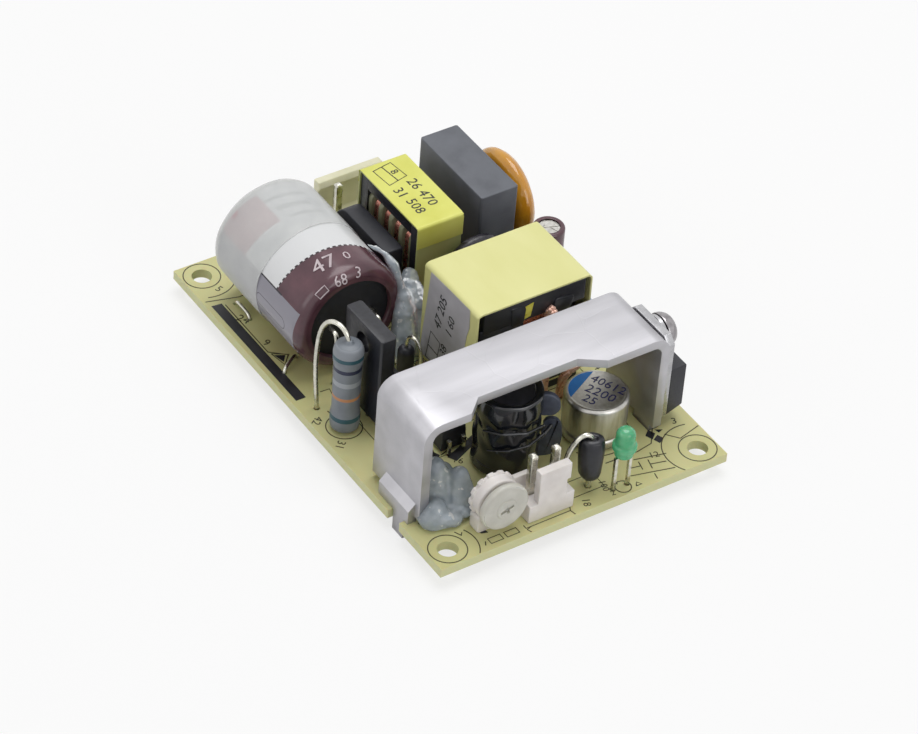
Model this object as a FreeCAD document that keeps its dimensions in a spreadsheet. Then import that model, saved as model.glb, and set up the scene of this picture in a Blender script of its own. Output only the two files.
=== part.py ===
import FreeCAD, Part
import math
import os
import Sketcher
from FreeCAD import Vector

# Open frame power supply on a 3 by 2 inch board. The origin is the middle of the
# board's underside, +X points to the output end and +Z up, all in millimetres.
doc = FreeCAD.newDocument("open_frame_power_supply")

SIZES = {
    # Board, with its four mounting holes
    "board_length": 76.2, "board_width": 50.8, "board_thickness": 1.6,
    "hole_spacing_x": 69.85, "hole_spacing_y": 44.45, "mounting_hole_radius": 1.6,
    "lead_hole_gap": 0.15, "solder_ring": 0.5, "solder_tip_share": 1.1, "lead_tip_depth": 2.0,
    "fit_gap": 0.03,
    # Bulk capacitor, lying down, with its axis along X
    "bulk_front_x": -5.9, "bulk_y": -13.8, "bulk_can_radius": 9.1, "bulk_can_length": 24.0,
    "bulk_can_edge": 0.6, "bulk_rim_edge": 0.3, "bulk_rim_wall": 0.9, "bulk_mouth_depth": 3.0,
    "bulk_sleeve_wall": 0.2, "bulk_sleeve_lip": 1.5, "bulk_bung_recess": 0.8,
    "bulk_cap_wall": 0.25, "bulk_cap_length": 12.6, "bulk_cup_slack": 0.25,
    "bulk_lead_radius": 0.4, "bulk_lead_spread": 7.5, "bulk_lead_reach": 2.2,
    "bulk_lead_bend": 1.3,
    # Start-up resistor, standing on end with its top lead looped back down
    "resistor_x": 5.25, "resistor_y": -21.35, "resistor_radius": 2.3, "resistor_waist": 2.0,
    "resistor_length": 16.1, "resistor_lift": 0.3, "resistor_shoulder": 0.4,
    "resistor_cap_length": 3.1, "resistor_lead_radius": 0.38, "resistor_loop_x": -5.5,
    "resistor_loop_y": -1.4, "resistor_loop_rise": 1.5, "resistor_loop_bend": 1.1,
    # Switching transistor, a full-pack body with its hole towards -Y
    "transistor_x": 4.65, "transistor_back_y": -18.55, "transistor_width": 10.0,
    "transistor_bottom": 4.0, "transistor_top": 20.0, "transistor_tab_thickness": 2.7,
    "transistor_thickness": 4.5, "transistor_step_height": 9.2, "transistor_hole_radius": 1.6,
    "transistor_hole_drop": 3.4, "transistor_edge": 0.3, "power_lead_pitch": 2.54,
    "power_lead_width": 0.8, "power_lead_thickness": 0.5, "power_lead_shoulder": 1.3,
    "power_lead_step": 1.4, "transistor_lead_inset": 1.9,
    # Bridge rectifier
    "bridge_x": -18.35, "bridge_y": -2.15, "bridge_width": 14.7, "bridge_thickness": 3.5,
    "bridge_bottom": 4.0, "bridge_top": 16.0, "bridge_chamfer": 2.6, "bridge_edge": 0.25,
    "bridge_lead_pitch": 3.81, "bridge_lead_radius": 0.43,
    # Line choke: a ferrite frame with a four-section bobbin, taped round
    "choke_x": -18.25, "choke_y": 4.3, "choke_tape_width": 16.7, "choke_tape_depth": 8.2,
    "choke_top": 20.0, "choke_bottom": 2.4, "choke_tape_wall": 0.3, "choke_core_depth": 5.0,
    "choke_limb": 2.3, "choke_side_limb": 2.0, "choke_post": 3.2, "choke_flange": 0.6,
    "choke_flange_height": 11.2, "choke_flange_depth": 7.8, "choke_bobbin_wall": 0.5,
    "choke_winding_inset": 0.8, "choke_foot_length": 3.4, "choke_corner": 0.3,
    "choke_pin_radius": 0.35, "choke_pin_spacing_x": 13.0, "choke_pin_spacing_y": 5.0,
    # Line filter film capacitor
    "film_x": -20.15, "film_y": 16.1, "film_length": 17.3, "film_width": 6.8,
    "film_top": 20.0, "film_foot": 0.4, "film_foot_length": 1.5, "film_edge": 0.25,
    "film_lead_radius": 0.4, "film_lead_pitch": 15.0,
    # Varistor disc behind the film capacitor
    "varistor_x": -18.4, "varistor_y": 22.0, "varistor_height": 12.1, "varistor_radius": 8.0,
    "varistor_thickness": 3.9, "varistor_edge": 0.95, "varistor_lead_radius": 0.4,
    "varistor_lead_pitch": 7.5, "varistor_skirt": 1.2, "dipped_coat": 0.7,
    # Mains inlet header with a friction wall and two of its three pins fitted
    "inlet_x": -34.15, "inlet_y": 5.0, "inlet_width": 11.8, "inlet_depth": 6.3,
    "inlet_base_height": 3.2, "inlet_wall": 1.3, "inlet_wall_top": 11.0, "inlet_nub": 0.6,
    "inlet_pin_x": -33.3, "inlet_pin_spacing": 7.92, "header_pin_side": 1.14,
    "header_pin_top": 12.1, "header_pin_point": 0.3,
    # Fuse by the inlet
    "fuse_x": -32.4, "fuse_y": 15.4, "fuse_length": 8.0, "fuse_width": 4.0,
    "fuse_height": 6.6, "fuse_lift": 0.3, "fuse_edge": 0.6, "fuse_lead_radius": 0.3,
    "fuse_lead_pitch": 5.08,
    # Inrush thermistor disc between the choke and the transformer
    "thermistor_x": -7.4, "thermistor_y": 10.4, "thermistor_height": 9.6,
    "thermistor_radius": 4.9, "thermistor_thickness": 3.2, "thermistor_edge": 0.7,
    "thermistor_lead_radius": 0.3, "thermistor_lead_pitch": 5.0, "thermistor_skirt": 1.4,
    # Transformer
    "transformer_x": 5.65, "transformer_y": 6.25, "transformer_depth": 14.3,
    "transformer_length": 20.5, "transformer_top": 21.5, "transformer_tape_wall": 0.3,
    "transformer_core_depth": 8.0, "transformer_limb": 3.2, "transformer_post": 6.4,
    "transformer_core_bottom": 3.0, "transformer_flange": 3.1, "transformer_base": 3.3,
    "transformer_bobbin_wall": 0.7, "transformer_coil_gap": 0.3, "transformer_coil_corner": 2.2,
    "transformer_coil_inset": 0.9, "transformer_pin_radius": 0.35,
    "transformer_pin_pitch": 5.0, "transformer_pin_row": 10.6, "transformer_edge": 0.9,
    "flying_lead_radius": 0.7, "flying_lead_x": 15.0, "flying_lead_y": 9.2,
    "flying_lead_pitch": 3.2, "flying_lead_height": 8.4, "flying_lead_bend": 1.3,
    # Auxiliary supply capacitor
    "aux_x": -6.0, "aux_y": 21.8, "aux_radius": 2.35, "aux_sleeve_wall": 0.15,
    "aux_bottom": 2.2, "aux_top": 15.0, "aux_edge": 0.2, "aux_lip": 0.7,
    "aux_lead_radius": 0.25, "aux_lead_pitch": 2.0,
    # Safety capacitor disc across the isolation gap
    "safety_x": 4.1, "safety_y": 20.6, "safety_height": 6.9, "safety_radius": 4.2,
    "safety_thickness": 3.0, "safety_edge": 0.7, "safety_lead_radius": 0.3,
    "safety_lead_pitch": 7.5, "safety_skirt": 0.7,
    # Optocoupler
    "coupler_x": 14.2, "coupler_y": -9.8, "coupler_length": 6.5, "coupler_width": 4.6,
    "coupler_height": 3.5, "coupler_lift": 0.5, "coupler_draft": 0.35,
    "coupler_lead_pitch": 2.54, "coupler_row": 7.62, "coupler_lead_width": 0.5,
    "coupler_lead_thickness": 0.3, "coupler_lead_level": 2.0,
    # Clamp diode by the transformer, standing on end
    "clamp_x": -0.4, "clamp_y": -7.1, "clamp_radius": 1.3, "clamp_length": 5.2,
    "clamp_lift": 0.3, "clamp_lead_radius": 0.3, "clamp_loop": 3.2,
    "clamp_loop_angle": 12.0, "clamp_loop_rise": 1.7, "clamp_loop_bend": 1.1,
    # Heatsink, a sheet folded into a bridge across the board
    "heatsink_back_x": 16.3, "heatsink_depth": 12.6, "heatsink_left_y": -23.4,
    "heatsink_right_y": 19.6, "heatsink_top": 20.2, "heatsink_sheet": 1.5,
    "heatsink_bend": 1.5, "heatsink_leg_bottom": 2.6, "recess_depth": 2.5,
    "recess_left_y": -12.8, "recess_right_y": 4.5, "recess_left_slant": 2.7,
    "recess_right_slant": 3.8, "left_tab_x": 19.9, "left_tab_width": 7.9,
    "left_tab_joggle": 1.2, "left_tab_start": 5.2, "left_tip_x": 24.0, "left_tip_width": 2.7,
    "right_tab_x": 24.0, "right_tab_width": 4.0, "tab_gap": 0.2,
    # Output rectifier clamped to the heatsink, with its screw
    "rectifier_x": 23.3, "rectifier_width": 10.0, "rectifier_bottom": 3.6,
    "rectifier_top": 18.8, "rectifier_tab": 1.3, "rectifier_body_thickness": 3.2,
    "rectifier_body_top": 12.4, "rectifier_draft": 0.5, "rectifier_hole_radius": 1.85,
    "rectifier_hole_drop": 2.7, "rectifier_notch": 1.2, "rectifier_lead_inset": 2.4,
    "screw_radius": 1.5, "screw_head_radius": 2.8, "screw_head_height": 2.1,
    "screw_tail": 1.2, "screw_head_round": 0.6, "washer_radius": 2.7,
    "washer_thickness": 0.8, "washer_gap": 0.1,
    # Output choke, a wound drum in shrink tube
    "drum_x": 22.9, "drum_y": -4.5, "drum_radius": 4.9, "drum_height": 13.3,
    "drum_flange": 1.4, "drum_post": 2.0, "drum_lift": 0.65, "drum_tube_wall": 0.35,
    "drum_tube_lip": 1.5, "drum_winding_inset": 0.3, "drum_lead_radius": 0.5,
    "drum_lead_pitch": 6.0,
    # Output capacitor, a low solid-polymer can
    "output_x": 24.1, "output_y": 10.6, "output_radius": 4.95, "output_top": 9.7,
    "output_seat": 0.3, "output_edge": 0.4, "output_groove": 1.7, "output_groove_depth": 0.4,
    "output_bung": 1.6, "output_bung_inset": 0.5, "output_lead_radius": 0.3,
    "output_lead_pitch": 5.0,
    # Power lamp
    "lamp_x": 36.2, "lamp_y": 7.2, "lamp_bottom": 7.8, "lamp_flange_radius": 1.9,
    "lamp_flange": 1.0, "lamp_radius": 1.5, "lamp_height": 5.3, "lamp_lead_side": 0.5,
    "lamp_lead_pitch": 2.54,
    # Output diode, standing on end beside the lamp
    "diode_x": 33.8, "diode_y": 3.1, "diode_radius": 1.95, "diode_bottom": 3.5,
    "diode_length": 7.7, "diode_lead_radius": 0.45, "diode_loop": 3.9,
    "diode_loop_angle": 250.7, "diode_loop_rise": 1.4, "diode_loop_bend": 1.0,
    # Output header with its keyed front block
    "outlet_x": 33.65, "outlet_y": -5.15, "outlet_width": 7.9, "outlet_depth": 5.3,
    "outlet_base_height": 3.2, "outlet_pin_x": 33.3, "outlet_pin_y": -5.1,
    "outlet_pin_spacing": 4.0, "outlet_key_thickness": 1.4, "outlet_key_width": 4.9,
    "outlet_key_top": 10.6, "outlet_back_thickness": 0.9, "outlet_back_width": 6.2,
    "outlet_back_top": 7.1, "outlet_back_slope": 1.8, "outlet_ear": 0.6,
    "outlet_ear_height": 3.0,
    # Voltage trimmer with its rotor facing the output end
    "trimmer_x": 31.9, "trimmer_y": -13.45, "trimmer_axis_height": 6.75,
    "trimmer_body_width": 8.6, "trimmer_body_depth": 2.7, "trimmer_body_top": 11.0,
    "trimmer_corner": 2.6, "trimmer_rotor_radius": 4.0, "trimmer_rotor_thickness": 1.4,
    "trimmer_rotor_gap": 0.5, "trimmer_shaft_radius": 1.7,
    "trimmer_shaft_depth": 1.6, "trimmer_shaft_gap": 0.1, "trimmer_boss_radius": 1.7,
    "trimmer_boss_depth": 0.25, "trimmer_slot_length": 2.4, "trimmer_slot_width": 0.6,
    "trimmer_slot_depth": 0.6, "trimmer_lead_radius": 0.35, "trimmer_lead_pitch": 2.5,
    # Links, underside parts and glue
    "link_radius": 0.3, "link_bend": 0.5, "link_rise": 0.7, "link_length": 4.2,
    "link_a_x": -22.6, "link_a_y": -21.0, "link_b_x": -9.4, "link_b_y": -22.9,
    "link_b_angle": -56.7, "chip_x": -5.0, "chip_y": -1.5, "chip_length": 5.0, "chip_width": 3.9,
    "chip_height": 1.45, "chip_lift": 0.15, "chip_lead_pitch": 1.27, "chip_lead_width": 0.42,
    "chip_lead_reach": 1.05, "chip_lead_thickness": 0.25, "small_part_length": 2.0,
    "small_part_width": 1.25, "small_part_height": 0.55,
    "glue_leg_x": 26.4, "glue_leg_y": -19.0, "glue_leg_radius": 2.6, "glue_leg_height": 7.4,
    "glue_foot_x": 30.0, "glue_foot_y": -15.4, "glue_foot_radius": 1.7,
    "glue_foot_height": 5.4, "glue_core_x": -4.3, "glue_core_y": -1.8,
    "glue_core_radius": 2.6, "glue_core_height": 8.6,
}

sheet = doc.addObject("Spreadsheet::Sheet", "Sizes")
for row, (alias, number) in enumerate(SIZES.items(), start=1):
    sheet.set("A%d" % row, alias)
    sheet.set("B%d" % row, str(number))
    sheet.setAlias("B%d" % row, alias)
doc.recompute()


class Dim:
    """A length: its number today, and the expression that keeps it true."""

    def __init__(self, value, text):
        self.value = value
        self.text = text

    def join(self, sign, other, value):
        return Dim(value, "(%s %s %s)" % (self.text, sign, other.text))

    def __add__(self, other):
        other = dim(other)
        return self.join("+", other, self.value + other.value)

    def __sub__(self, other):
        other = dim(other)
        return self.join("-", other, self.value - other.value)

    def __mul__(self, other):
        other = dim(other)
        return self.join("*", other, self.value * other.value)

    def __truediv__(self, other):
        other = dim(other)
        return self.join("/", other, self.value / other.value)

    def __neg__(self):
        return dim(0) - self

    def __radd__(self, other):
        return dim(other) + self

    def __rsub__(self, other):
        return dim(other) - self

    def __rmul__(self, other):
        return dim(other) * self


def dim(size):
    """Gives plain numbers the same form as the sheet's sizes."""
    if isinstance(size, Dim):
        return size
    return Dim(float(size), "(%r)" % float(size))


class Reader:
    """Reads a size of the sheet by its alias."""

    def __getattr__(self, alias):
        return Dim(float(sheet.get(alias)), "Sizes." + alias)


s = Reader()
NODES = []
LEADS = []

# Thin round leads, their holes and their joints have six flats, because they are many
LEAD_FLATS = 6


def bind(obj, prop, size):
    obj.setExpression(prop, dim(size).text)


def place(obj, x, y, z, angle=0.0):
    """Turns an object about Z and ties its place to the sheet."""
    obj.Placement = FreeCAD.Placement(Vector(), FreeCAD.Rotation(Vector(0, 0, 1), angle))
    for axis, size in zip("xyz", (x, y, z)):
        bind(obj, "Placement.Base." + axis, size)
    return obj


def node(obj, label):
    """Makes an object one of the supply's pieces."""
    obj.Label = label
    NODES.append(obj)
    return obj


def group(label, parts):
    """Gathers like solids into one piece."""
    compound = doc.addObject("Part::Compound", label + "_group")
    compound.Links = parts
    return node(compound, label)


def block(name, x, y, z, length, width, height):
    """A box with its low corner at x, y, z."""
    box = doc.addObject("Part::Box", name)
    bind(box, "Length", length)
    bind(box, "Width", width)
    bind(box, "Height", height)
    return place(box, x, y, z)


def new_body(name):
    return doc.addObject("PartDesign::Body", name + "_body")


def new_sketch(body, role, offset=0):
    """A sketch on one of the body's own origin planes, moved along its normal."""
    plane = [item for item in body.Origin.OriginFeatures if item.Role == role][0]
    sketch = body.newObject("Sketcher::SketchObject", body.Name + "_outline")
    sketch.AttachmentSupport = [(plane, "")]
    sketch.MapMode = "FlatFace"
    bind(sketch, "AttachmentOffset.Base.z", offset)
    return sketch


def fix_point(sketch, geometry, position, point):
    """Dimensions one end of an edge from the sketch's origin."""
    for kind, size in zip(("DistanceX", "DistanceY"), point):
        rule = Sketcher.Constraint(kind, -1, 1, geometry, position, size.value)
        index = sketch.addConstraint(rule)
        sketch.setExpression("Constraints[%d]" % index, size.text)


def rounded_corner(before, corner, after):
    """The entry point, exit point, centre and radius of a rounded corner."""
    x, y, radius = corner
    arms = []
    for other in (before, after):
        run = (other[0].value - x.value, other[1].value - y.value)
        arms.append((run[0] / math.hypot(*run), run[1] / math.hypot(*run)))
    half = 0.5 * math.acos(arms[0][0] * arms[1][0] + arms[0][1] * arms[1][1])
    entry, leave = [(x + radius * (arm[0] / math.tan(half)), y + radius * (arm[1] / math.tan(half)))
                    for arm in arms]
    middle = (arms[0][0] + arms[1][0], arms[0][1] + arms[1][1])
    reach = radius.value / math.sin(half) / math.hypot(*middle)
    centre = Vector(x.value + middle[0] * reach, y.value + middle[1] * reach, 0)
    return entry, leave, centre, radius


def draw(sketch, corners, closed=True):
    """Joins the corners by straight edges. A third value rounds a corner."""
    corners = [tuple(dim(value) for value in corner) for corner in corners]
    count = len(corners)
    turns = []
    for i, corner in enumerate(corners):
        if len(corner) == 3:
            turns.append(rounded_corner(corners[i - 1], corner, corners[(i + 1) % count]))
        else:
            turns.append((corner, corner, None, None))
    lines = count if closed else count - 1
    first = sketch.GeometryCount
    for i in range(lines):
        start = turns[i][1]
        end = turns[(i + 1) % count][0]
        line = Part.LineSegment(Vector(start[0].value, start[1].value, 0),
                                Vector(end[0].value, end[1].value, 0))
        fix_point(sketch, sketch.addGeometry(line, False), 1, start)
    for i in range(lines):
        entry, leave, centre, radius = turns[(i + 1) % count]
        this_line = first + i
        next_line = first + (i + 1) % lines
        if i == lines - 1 and not closed:
            fix_point(sketch, this_line, 2, entry)
            continue
        if centre is None:
            sketch.addConstraint(Sketcher.Constraint("Coincident", this_line, 2, next_line, 1))
            continue
        fix_point(sketch, this_line, 2, entry)
        angles = [math.atan2(point[1].value - centre.y, point[0].value - centre.x)
                  for point in (entry, leave)]
        forward = (angles[1] - angles[0]) % (2 * math.pi) < math.pi
        if not forward:
            angles.reverse()
        circle = Part.Circle(centre, Vector(0, 0, 1), radius.value)
        arc = sketch.addGeometry(Part.ArcOfCircle(circle, angles[0], angles[1]), False)
        ends = (1, 2) if forward else (2, 1)
        sketch.addConstraint(Sketcher.Constraint("Coincident", this_line, 2, arc, ends[0]))
        sketch.addConstraint(Sketcher.Constraint("Coincident", arc, ends[1], next_line, 1))
        index = sketch.addConstraint(Sketcher.Constraint("Radius", arc, radius.value))
        sketch.setExpression("Constraints[%d]" % index, radius.text)
    return sketch


def clipped(corners):
    """Cuts each corner that has a third value straight, that far along both edges."""
    corners = [tuple(dim(value) for value in corner) for corner in corners]
    points = []
    for i, corner in enumerate(corners):
        if len(corner) == 2:
            points.append(corner)
            continue
        x, y, cut = corner
        for other in (corners[i - 1], corners[(i + 1) % len(corners)]):
            run = (other[0].value - x.value, other[1].value - y.value)
            length = math.hypot(*run)
            points.append((x + cut * (run[0] / length), y + cut * (run[1] / length)))
    return points


def draw_polygon(sketch, x, y, radius, count=LEAD_FLATS):
    """A regular polygon whose corners lie on the radius."""
    angles = [2 * math.pi * i / count for i in range(count)]
    return draw(sketch, [(x + radius * math.cos(angle), y + radius * math.sin(angle))
                         for angle in angles])


def draw_circle(sketch, x, y, radius):
    """A circle with its centre and radius tied to the sheet."""
    x, y, radius = dim(x), dim(y), dim(radius)
    circle = Part.Circle(Vector(x.value, y.value, 0), Vector(0, 0, 1), radius.value)
    geometry = sketch.addGeometry(circle, False)
    fix_point(sketch, geometry, 3, (x, y))
    index = sketch.addConstraint(Sketcher.Constraint("Radius", geometry, radius.value))
    sketch.setExpression("Constraints[%d]" % index, radius.text)


def draw_box(sketch, x_low, x_high, y_low, y_high, radius=None, cut=None):
    """A rectangle, with its corners rounded or cut straight where a size is given."""
    corners = [(x_low, y_low), (x_high, y_low), (x_high, y_high), (x_low, y_high)]
    if radius is not None:
        corners = [corner + (radius,) for corner in corners]
    if cut is not None:
        corners = clipped([corner + (cut,) for corner in corners])
    return draw(sketch, corners)


def pad(body, sketch, length):
    """Adds the sketch's outline to the body, along the sketch's normal."""
    feature = body.newObject("PartDesign::Pad", body.Name + "_pad")
    feature.Profile = sketch
    bind(feature, "Length", length)
    return feature


def pocket(body, sketch, depth, reverse=False):
    """Cuts the sketch's outline out of the body, and makes sure that it cut."""
    doc.recompute()
    volume = body.Shape.Volume
    feature = body.newObject("PartDesign::Pocket", body.Name + "_cut")
    feature.Profile = sketch
    feature.Reversed = reverse
    bind(feature, "Length", depth)
    doc.recompute()
    if body.Shape.Volume > volume - 1e-6:
        raise RuntimeError("cut removes nothing in " + body.Name)
    return feature


def break_edges(body, size, test):
    """Chamfers the edges that the test picks."""
    doc.recompute()
    feature = body.Tip
    names = ["Edge%d" % (i + 1) for i, edge in enumerate(feature.Shape.Edges) if test(edge)]
    chamfer = body.newObject("PartDesign::Chamfer", body.Name + "_edge")
    chamfer.Base = (feature, names)
    bind(chamfer, "Size", size)
    return chamfer


def runs_along(edge, axis):
    """Tells whether an edge is straight and parallel to an axis."""
    if edge.Curve.TypeId != "Part::GeomLine":
        return False
    run = edge.Vertexes[1].Point - edge.Vertexes[0].Point
    return abs(abs(run.dot(axis)) - run.Length) < 1e-6


def turned(name, corners, along_x=False):
    """A turned form: (radius, height) corners about Z, or (x, radius) corners about X."""
    body = new_body(name)
    sketch = new_sketch(body, "XY_Plane" if along_x else "XZ_Plane")
    draw(sketch, clipped(corners))
    feature = body.newObject("PartDesign::Revolution", body.Name + "_turned")
    feature.Profile = sketch
    feature.ReferenceAxis = (sketch, ["H_Axis" if along_x else "V_Axis"])
    feature.Angle = 360
    return body


def bent_wire(name, path, radius):
    """A wire along an open path in its own XZ plane that starts upwards."""
    body = new_body(name)
    spine = draw(new_sketch(body, "XZ_Plane"), clipped(path), closed=False)
    section = new_sketch(body, "XY_Plane", path[0][1])
    draw_polygon(section, path[0][0], 0, radius)
    feature = body.newObject("PartDesign::AdditivePipe", body.Name + "_pipe")
    feature.Profile = section
    feature.Spine = (spine, ["Edge%d" % (i + 1) for i in range(spine.GeometryCount)])
    feature.Transition = "Right corner"
    return body


def rod(name, radius, height):
    """A straight lead, or the hole for one, that stands on the board's underside."""
    prism = doc.addObject("Part::Prism", name)
    prism.Polygon = LEAD_FLATS
    bind(prism, "Circumradius", radius)
    bind(prism, "Height", height)
    return prism


def lead_spot(x, y, radius):
    """Asks the board for a hole and a solder joint at a lead."""
    LEADS.append((dim(x), dim(y), dim(radius)))


def straight_leads(name, spots, radius, top_height):
    """Leads from the board's underside up to the body that they carry."""
    parts = []
    for i, (x, y) in enumerate(spots):
        parts.append(place(rod("%s_%d" % (name, i + 1), radius, top_height), x, y, 0))
        lead_spot(x, y, radius)
    return parts


def pair(x, y, pitch, along="x"):
    """Two lead places, centred on x, y."""
    if along == "x":
        return [(x - pitch / 2, y), (x + pitch / 2, y)]
    return [(x, y - pitch / 2), (x, y + pitch / 2)]


def coated_disc(name, radius, thickness, edge, skirt, spread, coat):
    """A dipped disc with its axis along X and its coating run down onto two leads."""
    half = thickness / 2
    body = turned(name, [(-half, 0), (-half, radius, edge), (half, radius, edge), (half, 0)],
                  along_x=True)
    legs = new_sketch(body, "XY_Plane", -radius - skirt)
    for side in (-1, 1):
        middle = side * spread / 2
        draw_box(legs, -coat, coat, middle - coat, middle + coat)
    pad(body, legs, skirt + radius * 0.45)
    return body


top = s.board_thickness

# Like leads are kept together, each a solid of its own
radial_leads = []
winding_pins = []
power_leads = []
chip_legs = []


# The bulk capacitor: can, bung, sleeve, insulating cup and two bent leads
bulk_sleeve_radius = s.bulk_can_radius + s.fit_gap + s.bulk_sleeve_wall
bulk_cup_radius = bulk_sleeve_radius + s.fit_gap + s.bulk_cap_wall
bulk_axis = top + bulk_cup_radius + s.fit_gap
bulk_mouth = s.bulk_can_radius - s.bulk_rim_wall
can = turned("bulk_can", [
    (-s.bulk_can_length, 0), (-s.bulk_can_length, s.bulk_can_radius, s.bulk_can_edge),
    (0, s.bulk_can_radius), (0, bulk_mouth), (-s.bulk_mouth_depth, bulk_mouth),
    (-s.bulk_mouth_depth, 0)], along_x=True)
node(place(can, s.bulk_front_x, s.bulk_y, bulk_axis), "bulk_capacitor_can")
bung = turned("bulk_bung", [
    (-s.bulk_mouth_depth, 0), (-s.bulk_mouth_depth, bulk_mouth - s.fit_gap),
    (-s.bulk_bung_recess, bulk_mouth - s.fit_gap), (-s.bulk_bung_recess, 0)], along_x=True)
node(place(bung, s.bulk_front_x, s.bulk_y, bulk_axis), "bulk_capacitor_bung")
sleeve_inside = s.bulk_can_radius + s.fit_gap
sleeve_back = -s.bulk_can_length + s.bulk_can_edge
sleeve_lip = bulk_sleeve_radius - s.bulk_sleeve_lip
sleeve = turned("bulk_sleeve", [
    (sleeve_back, sleeve_inside), (s.fit_gap, sleeve_inside),
    (s.fit_gap, sleeve_lip), (s.fit_gap + s.bulk_sleeve_wall, sleeve_lip),
    (s.fit_gap + s.bulk_sleeve_wall, bulk_sleeve_radius, s.bulk_rim_edge),
    (sleeve_back, bulk_sleeve_radius)], along_x=True)
node(place(sleeve, s.bulk_front_x, s.bulk_y, bulk_axis), "bulk_capacitor_sleeve")
cup_back = -s.bulk_can_length - s.bulk_cup_slack
cup_inside = bulk_cup_radius - s.bulk_cap_wall
cup = turned("bulk_cup", [
    (cup_back, 0), (cup_back, cup_inside, s.bulk_can_edge), (cup_back + s.bulk_cap_length, cup_inside),
    (cup_back + s.bulk_cap_length, bulk_cup_radius),
    (cup_back - s.bulk_cap_wall, bulk_cup_radius, s.bulk_can_edge + s.bulk_cap_wall / 2),
    (cup_back - s.bulk_cap_wall, 0)], along_x=True)
node(place(cup, s.bulk_front_x, s.bulk_y, bulk_axis), "bulk_capacitor_insulating_cup")
bulk_leads = []
for side in (-1, 1):
    lead = bent_wire("bulk_lead_%d" % (side + 2), [
        (0, 0), (0, bulk_axis, s.bulk_lead_bend),
        (-s.bulk_lead_reach - s.bulk_bung_recess, bulk_axis)], s.bulk_lead_radius)
    lead_x = s.bulk_front_x + s.bulk_lead_reach
    lead_y = s.bulk_y + side * s.bulk_lead_spread / 2
    bulk_leads.append(place(lead, lead_x, lead_y, 0))
    lead_spot(lead_x, lead_y, s.bulk_lead_radius)
group("bulk_capacitor_leads", bulk_leads)


# The start-up resistor, with swollen end caps, and its looped lead
resistor_bottom = top + s.resistor_lift
cap_end = s.resistor_cap_length + s.resistor_shoulder
resistor = turned("resistor", [
    (0, 0), (s.resistor_radius, 0),
    (s.resistor_radius, s.resistor_cap_length), (s.resistor_waist, cap_end),
    (s.resistor_waist, s.resistor_length - cap_end),
    (s.resistor_radius, s.resistor_length - s.resistor_cap_length),
    (s.resistor_radius, s.resistor_length, s.resistor_shoulder), (0, s.resistor_length)])
node(place(resistor, s.resistor_x, s.resistor_y, resistor_bottom), "startup_resistor_body")


def looped_leads(label, x, y, bottom, length, reach, angle, rise, bend, radius):
    """A standing part's two leads: one straight down, one looped over to its own hole."""
    angle_rad = math.radians(angle)
    foot_x = x + reach * math.cos(angle_rad)
    foot_y = y + reach * math.sin(angle_rad)
    loop_top = bottom + length + rise
    loop = bent_wire(label + "_loop", [
        (0, 0), (0, loop_top, bend), (-reach, loop_top, bend), (-reach, bottom + length)], radius)
    place(loop, foot_x, foot_y, 0, angle)
    foot = place(rod(label + "_foot", radius, bottom), x, y, 0)
    lead_spot(x, y, radius)
    lead_spot(foot_x, foot_y, radius)
    return group(label, [loop, foot])


loop_angle = math.degrees(math.atan2(s.resistor_loop_y.value, s.resistor_loop_x.value))
loop_reach = dim(math.hypot(s.resistor_loop_x.value, s.resistor_loop_y.value))
looped_leads("startup_resistor_leads", s.resistor_x, s.resistor_y, resistor_bottom,
             s.resistor_length, loop_reach, loop_angle, s.resistor_loop_rise,
             s.resistor_loop_bend, s.resistor_lead_radius)


def flat_leads(name, x, y, top_height, count=3):
    """Flat stamped leads with a wide shoulder under the moulded body."""
    parts = []
    for i in range(count):
        lead_x = x + (i - (count - 1) / 2) * s.power_lead_pitch
        body = new_body("%s_%d" % (name, i + 1))
        sketch = new_sketch(body, "XZ_Plane", -s.power_lead_thickness / 2)
        narrow = s.power_lead_width / 2
        wide = s.power_lead_shoulder / 2
        step = top_height - s.power_lead_step
        draw(sketch, [(-narrow, 0), (narrow, 0), (narrow, step), (wide, step), (wide, top_height),
                      (-wide, top_height), (-wide, step), (-narrow, step)])
        pad(body, sketch, s.power_lead_thickness)
        parts.append(place(body, lead_x, y, 0))
        lead_spot(lead_x, y, s.power_lead_width * 0.6)
    return parts


# The switching transistor: a stepped full-pack moulding with a screw hole
transistor = new_body("transistor")
front = s.transistor_thickness
tab = s.transistor_tab_thickness
step_low = s.transistor_step_height
height = s.transistor_top - s.transistor_bottom
sketch = new_sketch(transistor, "YZ_Plane", -s.transistor_width / 2)
draw(sketch, [(0, 0), (front, 0), (front, step_low - (front - tab)), (tab, step_low), (tab, height),
              (0, height)])
pad(transistor, sketch, s.transistor_width)
break_edges(transistor, s.transistor_edge,
            lambda edge: runs_along(edge, Vector(0, 0, 1)) and edge.Length > 5)
sketch = new_sketch(transistor, "XZ_Plane", 0)
draw_circle(sketch, 0, height - s.transistor_hole_drop, s.transistor_hole_radius)
pocket(transistor, sketch, s.transistor_thickness)
node(place(transistor, s.transistor_x, s.transistor_back_y, s.transistor_bottom),
     "switching_transistor_body")
power_leads += flat_leads("transistor_lead", s.transistor_x,
                          s.transistor_back_y + s.transistor_lead_inset, s.transistor_bottom)


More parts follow.
